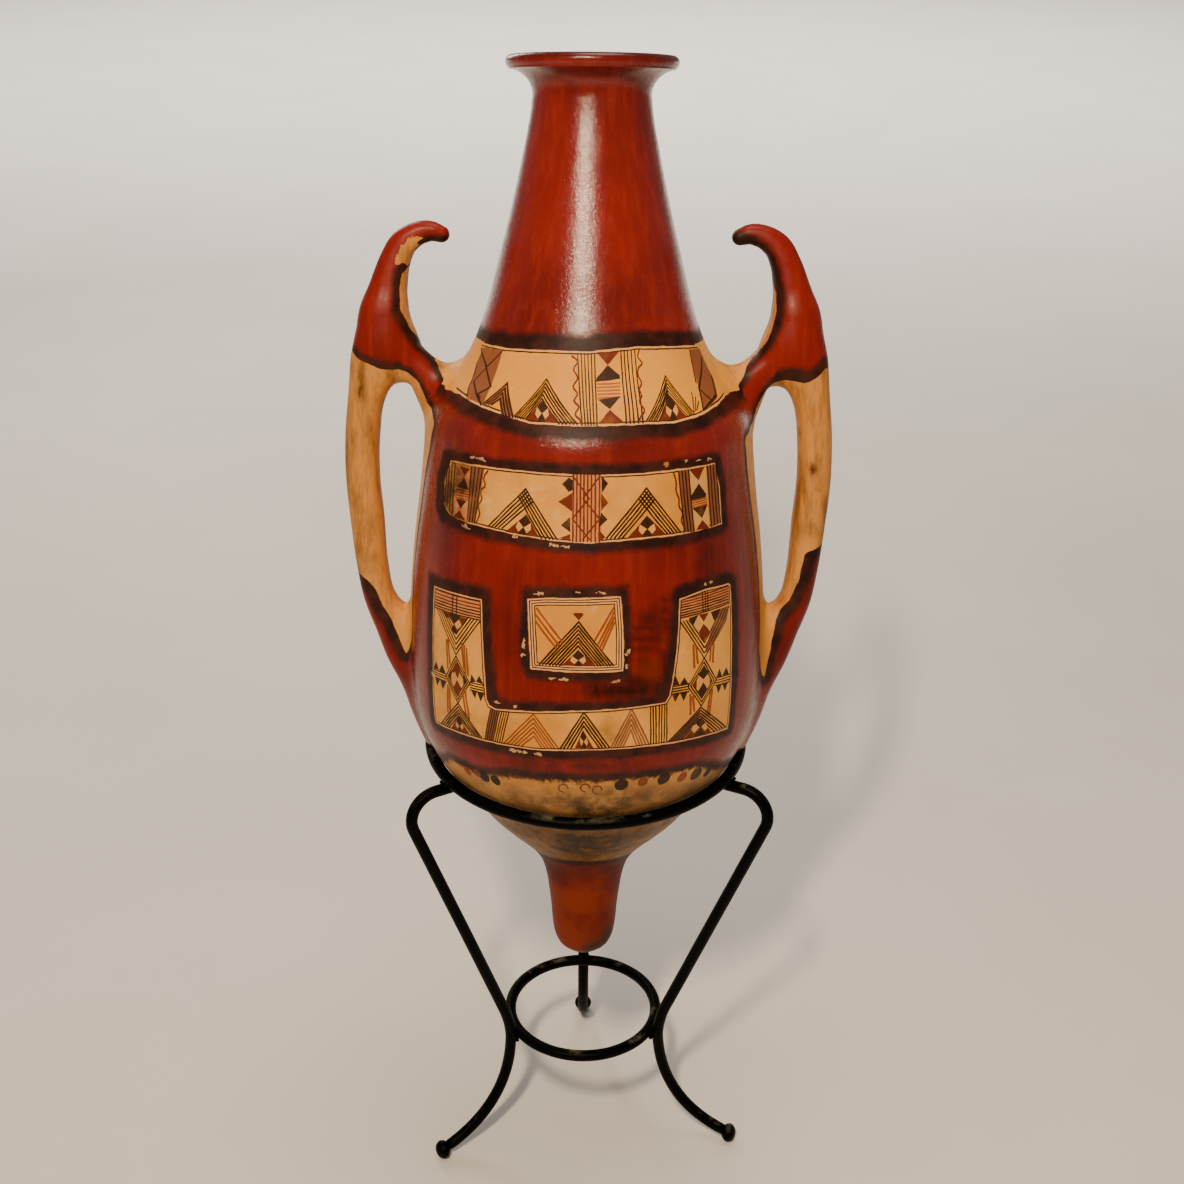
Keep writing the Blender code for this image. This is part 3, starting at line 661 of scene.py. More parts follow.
def paintShoulderPanel():
    outline = panels[1][0]
    rim(outline, 0.7, "pale", 0.95)
    rim(outline, 1.7, "line", 1.0)
    patch([(-12.5, 256), (10, 256), (10, 207.5), (-12.5, 207.5)], "tint")
    for u in (-11.5, -8.8, -6, -3.2, -0.4, 2.4, 5.4, 8.6):
        stroke([(u, 256), (u + 0.3, 207.5)], "darkRed", 1.3)
    stroke([(-12, 255), (1, 239), (-12, 224), (2, 209)], "darkRed", 1.3)
    stroke([(9, 255), (-4, 239), (9, 224), (-4, 209)], "darkRed", 1.3)
    patches((
            ("black", [(-20.5, 249), (-15, 254), (-12, 252), (-12, 245), (-15, 243.5)]),
            ("darkRed", [(-23, 236), (-12, 243), (-12, 229)]),
            ("black", [(-20.5, 219), (-13.5, 225.5), (-13, 214)]),
            ("darkRed", [(-21, 210), (-13, 213), (-13, 207.5)]),
            ("black", [(10, 256), (15.5, 250), (10.5, 243)]),
            ("darkRed", [(10, 243), (15.5, 236), (10, 229.5)]),
            ("black", [(10, 229), (15, 223.5), (8, 217.5)]),
            ("darkRed", [(8, 217), (13.5, 211), (8, 207.5)])))
    chevron((-49.5, 244), (-80.5, 213.5), (-23, 208.5), 5, 3.6, 3.1, 3.0, crossed=True)
    heart((-48, 225.5), (-65, 211.2), (-37, 209.2))
    chevron((46, 245.5), (14, 210), (74.5, 211), 5, 3.8, 3.1, 3.0, crossed=True)
    heart((46, 225.5), (30, 209.8), (62, 210.2))
    wavy([(-84.5, 254), (-88, 248), (-86, 243), (-90, 239), (-89, 232), (-92, 227), (-90, 222), (-93, 214)])
    patch([(-134, 250), (-120, 256), (-88, 255), (-94, 213.5), (-120, 215), (-133, 222)], "shade")
    patch([(-103, 255), (-88, 255), (-94, 213.5), (-104, 214)], "wash")
    hatch([(u, 255) for u in (-101.5, -97.5, -93.5, -90)], [(u, 214) for u in (-103, -100, -97, -94.5)])
    # painted shade: a dark brown film over the panel's left end
    patch([(-134, 250), (-120, 255), (-120, 215), (-133, 223)], "smear")
    hatch(spread((-133, 250), (-122, 255), 4), spread((-133, 224), (-121, 216), 4), "line", 1.4)
    patches((
            ("tint", [(-119, 255), (-103, 254), (-103, 214), (-120, 215)]),
            ("darkRed", [(-116, 254), (-103, 253), (-109, 247)]),
            ("black", [(-109, 246), (-117, 238), (-103, 237)]),
            ("black", [(-118, 229), (-105, 229), (-111, 222)]),
            ("darkRed", [(-112, 221), (-120, 215), (-104, 214)])))
    hatch(spread((-118, 236), (-118, 229.8), 4), spread((-103.5, 236), (-103.5, 229.8), 4), "red", 1.2)
    wavy([(70, 255), (72, 247), (71.5, 242), (74, 236), (74, 230), (77, 225), (75.5, 220), (78, 213),
          (77, 210.5)])
    patch([(74, 256), (85, 256), (88, 210), (79, 210.5)], "wash")
    hatch([(u, 256) for u in (74.5, 77.6, 80.7, 84)], [(u, 211) for u in (78.3, 81.2, 84, 87)], "line", 1.4)
    patch([(103, 257), (115, 257.5), (117, 213), (104, 211)], "wash")
    hatch(spread((104, 257), (114.5, 257.5), 4), spread((105.5, 212), (116.5, 213), 4), "line", 1.4)
    patches((
            ("cream", [(85, 256.5), (102, 257), (103, 211), (88, 210.5)]),
            ("darkRed", [(84.5, 256.5), (101, 257.2), (94, 247.5)]),
            ("black", [(94, 245.5), (102, 236), (101, 234.5), (86, 233.5), (86, 237)]),
            ("black", [(87, 227), (103, 229), (96, 219)]),
            ("darkRed", [(96, 218), (89, 210.8), (103, 211)])))
    hatch(spread((86.5, 233), (86.5, 227.8), 4), spread((101.5, 234), (102, 229), 4), "red", 1.2)


def paintSquare():
    outline = panels[2][0]
    for inset in (0.7, 2.55, 4.4):
        rim(outline, inset, "pale", 0.95)
    for inset in (1.6, 3.5, 5.4):
        rim(outline, inset, "line", 0.8)
    chevron((-6, 148.5), (-34.5, 114.8), (19.5, 115.2), 7, 3.0, 2.5, 2.2)
    heart((-6, 127.5), (-18.5, 114.8), (7, 115.2))
    patch([(-10.5, 154.5), (-8, 155.3), (-3.5, 155.2), (-2.3, 154), (-6, 149.5)], "darkRed")
    hatch([(-37, 157), (-37.5, 152), (-37.5, 147)], [(-17.5, 133), (-20, 130.5), (-22, 128)], "red", 1.6)
    hatch([(20, 160), (20, 156), (20, 152), (20, 148)], [(6, 135), (8, 131), (9.5, 129), (11, 127)], "red",
          1.6)


def crossedColumn(middle, sides, teeth):  # the lozenge and toothed bar of one upright arm of the lower panel
    for way in sides:
        stroke(way, "line", 1.2)
    patches(middle)
    for points in teeth:
        patch(points, "black")


def rungs(left, right, heights, pigment="line"):  # level lines from left to right
    hatch([(left, v) for v in heights], [(right, v) for v in heights], pigment, 1.1)


def paintLeftArm():
    patch([(-136, 158), (-84, 158), (-84, 142), (-136, 142)], "tint")
    rungs(-135, -84, (156.5, 153.7, 151), "darkRed")
    rungs(-135, -84, (148.6, 146.4, 144.2, 142.2))
    hatch([(-112, 158), (-107.5, 158)], [(-112, 142), (-107.5, 142)], "line", 1.3)
    patch([(-124, 141.5), (-95, 141.5), (-107, 126.5)], "darkRed")
    patches((
            ("black", [(-116, 142), (-103, 142), (-109, 134.8)]),
            ("cream", [(-116, 139), (-110, 134), (-113, 130.5), (-119, 135)]),
            ("cream", [(-104, 139), (-109, 134.5), (-106, 131), (-101, 134.5)]),
            ("black", [(-109.5, 133.5), (-113, 129), (-107.5, 126.5), (-106, 128.5)])))
    for i in range(5):
        stroke([(-131 + 3 * i, 141.5), (-107, 111 + 4 * i), (-83.5 - 3 * i, 141.5)], "line", 1.2)
    sides = []
    for inset in (0, 3, 6):
        f = 1 - inset / 19
        sides.append([(-107, 91 + 19 * f), (-106 - 13 * f, 91), (-106, 91 - 19 * f),
                      (-106 + 13 * f, 91), (-107, 91 + 19 * f)])
    middle = [("darkRed", [(-106, 105), (-111.5, 97), (-106, 92), (-101, 97)]),
              ("cream", [(-108.5, 97.5), (-112, 92), (-108, 88), (-105.5, 92)]),
              ("cream", [(-103.5, 97.5), (-105.5, 92), (-102, 88), (-99.5, 92)]),
              ("darkRed", [(-106, 91), (-110, 85), (-106, 78), (-101.5, 85)]),
              ("black", [(-116.5, 92), (-112.5, 97), (-112.5, 87)]),
              ("black", [(-95.5, 92), (-99.5, 97), (-99.5, 87)])]
    teeth = [[(-136, 93), (-132, 100), (-128, 93.5)], [(-128, 93.5), (-123.5, 99.5), (-119, 92.5)],
             [(-134, 86), (-131.5, 79.5), (-127, 86)], [(-127, 86), (-124, 79), (-119, 86)],
             [(-92.5, 92), (-91, 99), (-87, 93.5)], [(-87, 93.5), (-83.5, 99), (-79.5, 92.5)],
             [(-92, 86), (-88, 80), (-86, 86)], [(-86, 86), (-82.5, 78.5), (-79, 86)]]
    crossedColumn(middle, sides, teeth)
    rungs(-135.5, -119, (92.5, 90.5, 88.5, 86.5))
    rungs(-92.5, -79, (92, 90, 88, 86))
    hatch([(-118, 120), (-116, 121), (-101, 122), (-98.5, 120), (-96, 118)],
          [(-116.5, 98), (-114, 102), (-98.5, 102), (-97, 98), (-94.5, 97)], "red", 2.0)
    hatch([(-117, 84), (-115, 82), (-100, 82), (-97.5, 84)], [(-119, 62), (-116, 64), (-98, 64), (-95, 62)],
          "red", 2.0)
    chevron((-106, 72), (-130, 48.8), (-84, 48.8), 5, 2.6, 2.6, 2.3)
    heart((-106, 61), (-117, 49), (-96, 49))


def paintRightArm():
    patch([(71, 161.5), (95, 165.5), (122, 165.5), (122, 150), (95, 148), (71.5, 146)], "tint")
    for i, v in enumerate((161, 159, 157, 155, 153, 151, 149, 147.5)):
        stroke([(72, v), (121, v + 3)], "darkRed" if i < 3 else "line", 1.1)
    hatch([(92.5, 163), (95, 163.5), (97.5, 163.5)], [(92.5, 149), (95, 149), (97.5, 149)], "line", 1.0)
    for i in range(4):
        stroke([(71.5 + 2.6 * i, 144.5), (93.5, 113 + 4 * i)], "line", 1.2)
    patch([(108, 148), (121, 149), (118, 138), (96, 115), (95, 122)], "wash")
    for i in range(4):
        stroke([(121 - 3.5 * i, 148), (94, 113 + 4 * i)], "line", 1.1)
    patches((
            ("black", [(79, 146), (88, 147.5), (83, 140)]),
            ("darkRed", [(88.5, 147.5), (98.5, 147.8), (93, 141)]),
            ("cream", [(88, 146.5), (92, 140), (88, 134.5), (83.5, 140.5)]),
            ("cream", [(98, 146.8), (103, 139.5), (99, 134), (94, 140.5)]),
            ("black", [(100, 147.5), (110, 148.5), (104, 139.5)]),
            ("darkRed", [(93, 140), (88, 134), (93.5, 126), (99, 133)])))
    hatch([(83, 125), (85.5, 124), (100.5, 124), (103, 123)],
          [(84.5, 107), (87.5, 110), (99.5, 110), (102.5, 108)],
          "red", 2.0)
    hatch([(81.5, 86), (84, 84), (101, 86), (103, 86)], [(82.5, 70), (86, 72), (99, 66), (101.5, 65)], "red",
          2.0)
    sides = [[(93.5, 113 - s), (79 + 0.75 * s, 93), (92.5, 75 + s), (107 - 0.75 * s, 93), (93.5, 113 - s)]
             for s in (0, 3.2, 6.2)]
    middle = [("black", [(93.5, 106), (88, 101), (93.5, 96), (99, 101)]),
              ("cream", [(88.5, 100), (93, 95), (89, 90), (87, 95)]),
              ("cream", [(98, 99), (100, 95), (98, 90), (94.5, 94.5)]),
              ("black", [(93.5, 94), (88.5, 87.5), (92.8, 81.5), (98, 87)]),
              ("darkRed", [(83.8, 93.5), (87, 97), (87, 90)]),
              ("darkRed", [(102.3, 93.5), (100, 97), (100, 90)])]
    teeth = [[(65, 95.5), (68, 103), (71.5, 95.5)], [(71.5, 95.5), (75.5, 101), (79.5, 95)],
             [(65, 89), (68, 82), (72, 89)], [(72, 89), (75.5, 82), (79, 89)],
             [(107, 95), (110, 101.5), (113.5, 94.5)], [(113.5, 94.5), (118, 100.8), (122, 94)],
             [(107, 88), (110, 81.5), (113.5, 88)], [(113.5, 88), (118, 81.5), (121, 88)]]
    crossedColumn(middle, sides, teeth)
    rungs(64.5, 80, (95, 93, 91, 89))
    hatch([(106.5, v) for v in (94.5, 92.5, 90.5, 88.5)], [(123, v) for v in (94, 92, 90, 88)], "line", 1.1)
    patch([(92, 74), (64, 50.5), (80, 50.5), (91, 64)], "wash")
    chevron((92, 74), (64, 50.5), (123, 50.5), 5, 2.4, 2.8, 3.4)
    patches((
            ("darkRed", [(93, 64), (79, 50.5), (106, 50.5)]),
            ("black", [(93, 66), (88.5, 61.5), (93.3, 57), (98, 61)]),
            ("cream", [(85.5, 59.5), (88.5, 61), (92.5, 57.3), (87.5, 53.5), (84.5, 57)]),
            ("cream", [(94.5, 57.8), (98.5, 60), (101.5, 55.5), (98.5, 53)]),
            ("black", [(93, 57), (87, 50.8), (98.5, 50.8)])))


def paintFoot():  # the strip that joins the two arms
    patch([(-74, 74.5), (-66, 75), (-73, 47.5), (-81, 47.5)], "wash")
    hatch(spread((-74, 74), (-58, 75.5), 9), spread((-81, 47.5), (-66, 47.5), 9), "line", 1.0)
    chevron((-39, 75.5), (-64, 47.8), (-20, 48.2), 6, 3.6, 2.9, 2.6, "red", 1.3)
    chevron((-1.5, 79), (-19, 49.2), (18, 50), 4, 3.6, 2.6, 2.6)
    heart((-2, 65), (-8, 50), (6, 50.2))
    chevron((33.5, 81), (19, 50.2), (48.5, 50.4), 5, 4.2, 2.3, 2.4, "wash", 1.4)
    hatch([(u, 83) for u in (48, 50, 52, 55, 57, 59.5, 61)], spread((50, 50), (63, 50.2), 7), "line", 1.1)
    rim(panels[3][0], 0.6, "pale", 0.95)
    rim(panels[3][0], 1.6, "line", 1.0)


def paintSkirt():
    for u, v, size, pigment in ((30, 16, 6, "black"), (48, 17, 4.6, "red"), (67, 17, 6, "black"),
                                (86, 15, 5, "red"), (102, 14, 6.3, "black"), (118, 11, 4.4, "line"),
                                (-92, 12, 6, "line"), (-80, 11, 5, "line"), (-100, 13, 4, "red"),
                                (-112, 12, 4.5, "red")):
        blob(u, v, size, size * 0.95, pigment)
    for u, v in ((0, 14), (-18, 13), (10, 12)):
        ring = [(u + 4 * math.cos(k * math.pi / 4), v + 4 * math.sin(k * math.pi / 4)) for k in range(7)]
        stroke(ring, "wash", 1.5)


def paintChips():
    for u, v, wide, high, pigment in (
            (-98, 262, 8, 1.2, "chip"), (-88, 261.5, 3.5, 1.6, "chip"), (66, 262, 5, 2, "ochre"),
            (80, 263, 2.4, 1, "chip"), (95, 262.5, 3, 1.1, "chip"), (106, 262, 2, 1.4, "chip"),
            (-106, 210.3, 2.8, 1.6, "chip"), (-101, 209.3, 2.4, 1.2, "chip"), (-57, 208.5, 2.4, 1.2, "chip"),
            (-25, 204.5, 3.2, 1.4, "chip"), (-16, 203.8, 2.4, 1.2, "chip"), (-35, 167.5, 3, 2.4, "chip"),
            (-5, 171, 3, 1.1, "chip"), (10, 170.5, 3.5, 1.2, "chip"), (-46, 129, 1.4, 5, "chip"),
            (-47, 121, 1.2, 2.5, "chip"), (29.5, 124, 1.1, 4, "chip"), (30, 115, 1, 3, "chip"),
            (-137.5, 86, 2, 4, "chip"), (-50, 43, 9, 1.6, "chip"),
            (-34, 42.5, 5, 1.2, "chip"), (-70, 80.5, 3, 1.6, "chip"), (-53, 79.3, 3, 1.3, "chip"),
            (98, 170, 4, 1.3, "chip"), (20, 103, 5, 1.2, "chip"), (-20, 104.5, 6, 1.2, "chip")):
        crumbs(u, v, wide, high, pigment)


for paint in (paintNeckBand, paintShoulderPanel, paintSquare, paintLeftArm, paintRightArm, paintFoot,
              paintSkirt,
              paintChips):
    paint()
print("ornament drawn:", len(marks), "marks")


# The jar's own mesh: the turned shell, the handles joined on with soft fillets, and the ornament let into it
window = {"columns": 23, "bottom": -12.0, "top": 352.0}  # the front part that carries the ornament


def buildJar():
    columns = jar["columns"]
    step = 2 * math.pi / columns
    rows, inside = jarRows()
    heights = [r[0] for r in rows]
    low = min(range(len(rows)), key=lambda i: abs(heights[i] - window["bottom"]))
    high = min(range(len(rows)), key=lambda i: abs(heights[i] - window["top"]))
    verts, faces = [(0, 0, rows[0][0])], []
    for height, radius in rows[1:]:
        for k in range(columns):
            verts.append((radius * math.sin(k * step), -radius * math.cos(k * step), height))
    for k in range(columns):
        faces.append((0, 1 + k, 1 + (k + 1) % columns))
    for i in range(len(rows) - 2):
        for k in range(columns):
            a, b = 1 + i * columns + k, 1 + i * columns + (k + 1) % columns
            faces.append((a, b, b + columns, a + columns))
    faces.append(tuple(range(len(verts) - columns, len(verts))))
    body = meshObject("jarBody", verts, faces)
    for side in (-1, 1):
        grip = meshObject("grip", *tube(handleLine, side, True))
        grip = unite(grip, meshObject("bridge", *tube(bridgeLine, side, False)))
        body = unite(body, grip)
    bm = bmesh.new()
    bm.from_mesh(body.data)
    bpy.data.objects.remove(body, do_unlink=True)
    throat = rows[-1][0]
    edge = window["columns"] * step
    gone = []
    for face in bm.faces:
        centre = face.calc_center_median()
        isCap = len(face.verts) > columns // 3 and abs(centre.z - throat) < 0.5
        azimuth = math.atan2(centre.x, -centre.y)
        if isCap or (abs(azimuth) < edge and heights[low] < centre.z < heights[high]):
            gone.append(face)
    bmesh.ops.delete(bm, geom=gone, context="FACES")
    print("jar joined:", len(bm.verts), "vertices")
    softenJoins(bm)
    layer = bm.faces.layers.int.new("pigment")
    for face in bm.faces:
        face[layer] = -1
    addOrnament(bm, layer, rows, low, high, step)
    addInside(bm, layer, rows, inside, step)
    return bm


joins = {  # how the clay round the handles' roots is made even, in mm
    "edges": (6.0, 4.2),
    "merge": 1.1,
    "rounds": 7,
    "pulls": 2,
    "firstPulls": 4,
    "furthest": 3,
    "relax": 0.6,
}


def softenJoins(bm):  # makes the clay round the handles' roots even, then moves it onto the filleted form
    bm.verts.ensure_lookup_table()

    def joinVerts(limit):
        points = np.array([v.co for v in bm.verts])
        return {v for v, f in zip(bm.verts, clayField(points)[1]) if f > limit}
    for dist in joins["edges"]:
        near = joinVerts(0.02)
        faces = [f for f in bm.faces if any(v in near for v in f.verts)]
        bmesh.ops.triangulate(bm, faces=faces)
        near = joinVerts(0.02)
        long = [e for e in bm.edges if (e.verts[0] in near or e.verts[1] in near) and e.calc_length() > dist]
        bmesh.ops.subdivide_edges(bm, edges=long, cuts=1, use_grid_fill=False)
        faces = [f for f in bm.faces if len(f.verts) > 3 and any(v in near for v in f.verts)]
        bmesh.ops.triangulate(bm, faces=faces)
    near = [v for v in joinVerts(0.5) if not v.is_boundary]
    bmesh.ops.remove_doubles(bm, verts=near, dist=joins["merge"])
    bmesh.ops.dissolve_degenerate(bm, edges=bm.edges[:], dist=0.05)
    faces = [f for f in bm.faces if len(f.verts) > 4]
    bmesh.ops.triangulate(bm, faces=faces)
    bm.verts.ensure_lookup_table()
    points = np.array([v.co for v in bm.verts])
    fillet, body, bar = clayField(points)[1:]
    moving = np.array([(f > 0.01 or b < d) and not v.is_boundary
                       for v, f, b, d in zip(bm.verts, fillet, bar, body)])
    chosen = np.nonzero(moving)[0]
    relaxed = np.nonzero(moving & (fillet > 0.3))[0]
    neighbours = [[e.other_vert(bm.verts[i]).index for e in bm.verts[i].link_edges] for i in relaxed]
    for turn in range(joins["rounds"]):
        for _ in range(joins["pulls"] if turn else joins["firstPulls"]):
            normal, size = fieldNormal(points[chosen])
            value = clayField(points[chosen])[0]
            pull = np.clip(value / np.maximum(size, 0.3), -joins["furthest"], joins["furthest"])
            points[chosen] -= normal * pull[:, None]
        if turn < joins["rounds"] - 1:
            middle = np.array([points[n].mean(axis=0) for n in neighbours])
            points[relaxed] += joins["relax"] * (middle - points[relaxed])
    for v, p in zip(bm.verts, points):
        v.co = p
    flat = [f for f in bm.faces if len(f.verts) == 3 and any(moving[v.index] for v in f.verts)]
    edges = {e for f in flat for e in f.edges if all(g in set(e.link_faces) for g in e.link_faces)}
    bmesh.ops.beautify_fill(bm, faces=flat, edges=list(edges))
    print("joins softened:", len(chosen), "vertices moved")


def addOrnament(bm, layer, rows, low, high, step):  # the front window, cut along every mark's outline
    coords, edges, faces = [], [], []
    columns = window["columns"]
    across = [k * step * chartRadius for k in range(-columns, columns + 1)]
    up = [rows[i][0] for i in range(low, high + 1)]
    border = ([(u, up[0]) for u in across] + [(across[-1], v) for v in up[1:]]
              + [(u, up[-1]) for u in across[-2::-1]] + [(across[0], v) for v in up[-2:0:-1]])
    coords += border
    edges += [(i, (i + 1) % len(border)) for i in range(len(border))]
    coords += [(u, v) for u in across[1:-1] for v in up[1:-1]]
    for _, outline in marks:
        start = len(coords)
        coords += [(min(max(u, across[0] + 0.5), across[-1] - 0.5), min(max(v, up[0] + 0.5), up[-1] - 0.5))
                   for u, v in outline]
        faces.append(tuple(range(start, start + len(outline))))
    flat, _, triangles, _, _, owners = geometry.delaunay_2d_cdt(
        [Vector(c) for c in coords], edges, faces, 0, 1e-4)
    flat = np.array([tuple(p) for p in flat])
    places = onJar(flat[:, 0] / chartRadius, flat[:, 1])
    made = [bm.verts.new(p) for p in places]
    for triangle, owner in zip(triangles, owners):
        if len(set(triangle)) < 3:
            continue
        face = bm.faces.new([made[i] for i in triangle])
        face[layer] = marks[max(owner)][0] if owner else -1
    rimVerts = [v for v in bm.verts if v.is_boundary]
    bmesh.ops.remove_doubles(bm, verts=rimVerts, dist=0.02)
    print("ornament let in:", len(triangles), "triangles")


def addInside(bm, layer, rows, inside, step):  # the hollow, from the throat down to its floor
    columns = jar["columns"]
    ringBefore = []
    for k in range(columns):
        height, radius = rows[-1]
        ringBefore.append(bm.verts.new((radius * math.sin(k * step), -radius * math.cos(k * step), height)))
    made = []
    for height, radius in inside[:-1]:
        ring = [bm.verts.new((radius * math.sin(k * step), -radius * math.cos(k * step), height))
                for k in range(columns)]
        for k in range(columns):
            n = (k + 1) % columns
            made.append(bm.faces.new((ringBefore[k], ringBefore[n], ring[n], ring[k])))
        ringBefore = ring
    bottom = bm.verts.new((0, 0, inside[-1][0]))
    for k in range(columns):
        made.append(bm.faces.new((ringBefore[k], ringBefore[(k + 1) % columns], bottom)))
    for face in made:
        face[layer] = -1
        face.material_index = 1
    near = [v for v in bm.verts if v.is_boundary and abs(v.co.z - rows[-1][0]) < 0.01]
    bmesh.ops.remove_doubles(bm, verts=near, dist=0.02)


amphoraMesh = bpy.data.meshes.new("amphoraClay")
jarBm = buildJar()
bmesh.ops.recalc_face_normals(jarBm, faces=jarBm.faces)
flaps = [f for f in jarBm.faces
         if {1, 3} <= {len(e.link_faces) for e in f.edges}]  # slivers left where a bar meets the jar
bmesh.ops.delete(jarBm, geom=flaps, context="FACES")
loose = [e for e in jarBm.edges if len(e.link_faces) != 2]
print("open or odd edges:", len(loose))
jarBm.to_mesh(amphoraMesh)
jarBm.free()
amphora = bpy.data.objects.new("amphora", amphoraMesh)
bpy.context.scene.collection.objects.link(amphora)


def finishJarMesh(mesh):  # normals, painted fields and pigment colours
    count = len(mesh.vertices)
    points = np.empty(count * 3)
    mesh.vertices.foreach_get("co", points)
    points = points.reshape(-1, 3)
    inner = np.zeros(count, bool)
    for face in mesh.polygons:
        if face.material_index == 1:
            inner[list(face.vertices)] = True
    whole, fillet, body, bar = clayField(points)
    onClay = ~inner & (points[:, 2] < jar["fieldTop"]) & (np.abs(whole) < 0.6)
    normals = np.empty(count * 3)
    mesh.vertices.foreach_get("normal", normals)
    normals = normals.reshape(-1, 3)
    chosen = np.nonzero(onClay & ((fillet > 0.002) | (bar < body)))[0]
    normals[chosen] = fieldNormal(points[chosen])[0]
    turned = np.nonzero(onClay & (fillet <= 0.002) & (body <= bar) & (points[:, 2] > jar["fieldBottom"]))[0]
    h = points[turned, 2]
    slope = (radiusAt(h + 0.6) - radiusAt(h - 0.6)) / 1.2
    radial = points[turned, :2] / np.linalg.norm(points[turned, :2], axis=1, keepdims=True)
    normals[turned] = np.concatenate((radial, -slope[:, None]), axis=1) / np.hypot(1, slope)[:, None]
    cream, black, stainAndShade, grip, rubbed, smear = paintFields(points)
    cream[inner] = noPaint
    black[inner] = noPaint
    for name, values in (("creamEdge", cream), ("blackEdge", black), ("stainAndShade", stainAndShade),
                         ("toe", jar["toeTop"] - points[:, 2]), ("grip", grip), ("rubbed", rubbed),
                         ("smear", smear)):
        attribute = mesh.attributes.new(name, "FLOAT", "POINT")
        attribute.data.foreach_set("value", values.astype(np.float32))
    layer = np.empty(len(mesh.polygons), int)
    mesh.attributes["pigment"].data.foreach_get("value", layer)
    totals = np.empty(len(mesh.polygons), int)
    mesh.polygons.foreach_get("loop_total", totals)
    table = np.array([toLinear(*pigments[name]) for name in pigmentNames] + [(0, 0, 0, 0)])
    colours = table[np.repeat(layer, totals)]
    drawn = mesh.attributes.new("drawn", "FLOAT_COLOR", "CORNER")
    drawn.data.foreach_set("color", colours.astype(np.float32).ravel())
    mesh.attributes.remove(mesh.attributes["pigment"])
    mesh.shade_smooth()
    mesh.normals_split_custom_set_from_vertices([tuple(n) for n in normals])


finishJarMesh(amphoraMesh)
amphoraMesh.transform(jarPlace @ Matrix.Scale(mm, 4))
print("jar meshed:", len(amphoraMesh.vertices), "vertices,", len(amphoraMesh.polygons), "faces")


# The stand, in metres like the frame: two rings and three legs of 10 mm round bar, forged a little uneven
stand = {
    "bar": 0.010,
    "weldGap": 0.0003,
    "ringHeights": {"upper_ring": 0.401, "lower_ring": 0.113},
    "legs": {  # azimuth at the upper ring, lower ring and foot; arm length; foot radius
        "leg_left": (-60, -57, -60, 0.010, 0.145),
        "leg_right": (64.5, 61.5, 71, 0.013, 0.143),
        "leg_rear": (180, 180, 180, 0.010, 0.131),
    },
    "armInside": 0.005,
    "bendRadius": 0.0225,
    "kneeAbove": 0.034,
    "kneeOut": 0.0065,
    "footSweep": 0.055,
    "footReach": 0.045,
    "footTilt": 20,
    "knob": 0.0083,
    "knobLength": 0.013,
    "knobEnd": 0.96,  # share of the half length at which the knob is cut flat
    "knobTip": 0.0022,
    "sides": 20,
    "dent": 0.00006,
    "dentEvery": 0.045,
    "parts": {"ring": {"upper_ring": 120, "lower_ring": 90}, "bend": 12, "straight": 14, "knee": 8,
              "foot": 22, "knob": 12},
}
weld = {  # how far each bead lies from the joint's middle, its lumps, and length and height at ring and knee
    "aside": 0.0032,
    "lump": 0.0007,
    "sink": 0.0005,
    "atRing": (0.0050, 0.0019),
    "atKnee": (0.0048, 0.0020),
}


def cadBoxOf(node):  # the lower and upper corners of a node of the frame
    o = frame["nodes"][node]
    corners = [o.matrix_world @ Vector(c) for c in o.bound_box]
    return [min(c[i] for c in corners) for i in range(3)], [max(c[i] for c in corners) for i in range(3)]


def ringOf(node):  # centre and radius of a ring's middle line
    low, high = cadBoxOf(node)
    return Vector(((low[0] + high[0]) / 2, (low[1] + high[1]) / 2)), (high[0] - low[0] - stand["bar"]) / 2


upperCentre, upperRadius = ringOf("upper_ring")
lowerCentre, lowerRadius = ringOf("lower_ring")


def barMesh(name, path, radii, closed, seed):  # a round bar along a path, with hammered unevenness
    rng = random.Random(seed)
    sides = stand["sides"]
    phases = [(rng.uniform(0, 6.28), rng.uniform(0, 6.28)) for _ in range(3)]
    verts, faces = [], []
    count = len(path)
    previous = None
    gone = 0.0
    for i, point in enumerate(path):
        if closed:
            along = (path[(i + 1) % count] - path[i - 1]).normalized()
        else:
            along = (path[min(i + 1, count - 1)] - path[max(i - 1, 0)]).normalized()
        if previous is None:
            guide = Vector((0, 0, 1)) if abs(along.z) < 0.7 else Vector((1, 0, 0))
            across = guide.cross(along).normalized()
        else:
            across = (previous - along * previous.dot(along)).normalized()
        previous = across
        width = along.cross(across)
        gone += (path[i] - path[i - 1]).length if i else 0
        turnShare = 2 * math.pi * i / count if closed else gone / stand["dentEvery"]
        for k in range(sides):
            angle = 2 * math.pi * k / sides
            dent = (math.sin(2 * turnShare * (3 if closed else 1) + phases[0][0] + angle)
                    + 0.6 * math.sin(5 * turnShare + phases[1][0] + 2 * angle)
                    + 0.4 * math.sin(9 * turnShare + phases[2][0] - angle))
            radius = radii[i] - stand["dent"] * (1 + 0.45 * dent)
            verts.append(point + (across * math.cos(angle) + width * math.sin(angle)) * radius)
    spans = count if closed else count - 1
    for i in range(spans):
        for k in range(sides):
            a, b = i * sides + k, i * sides + (k + 1) % sides
            c, d = ((i + 1) % count) * sides + (k + 1) % sides, ((i + 1) % count) * sides + k
            faces.append((a, b, c, d))
    if not closed:
        faces.append(tuple(range(sides))[::-1])
        faces.append(tuple(range(len(verts) - sides, len(verts))))
    made = meshObject(name, verts, faces)
    made.data.shade_smooth()
    return made


def ringPath(centre, radius, height, parts):
    return [Vector((centre.x + radius * math.sin(2 * math.pi * i / parts),
                    centre.y - radius * math.cos(2 * math.pi * i / parts), height)) for i in range(parts)]


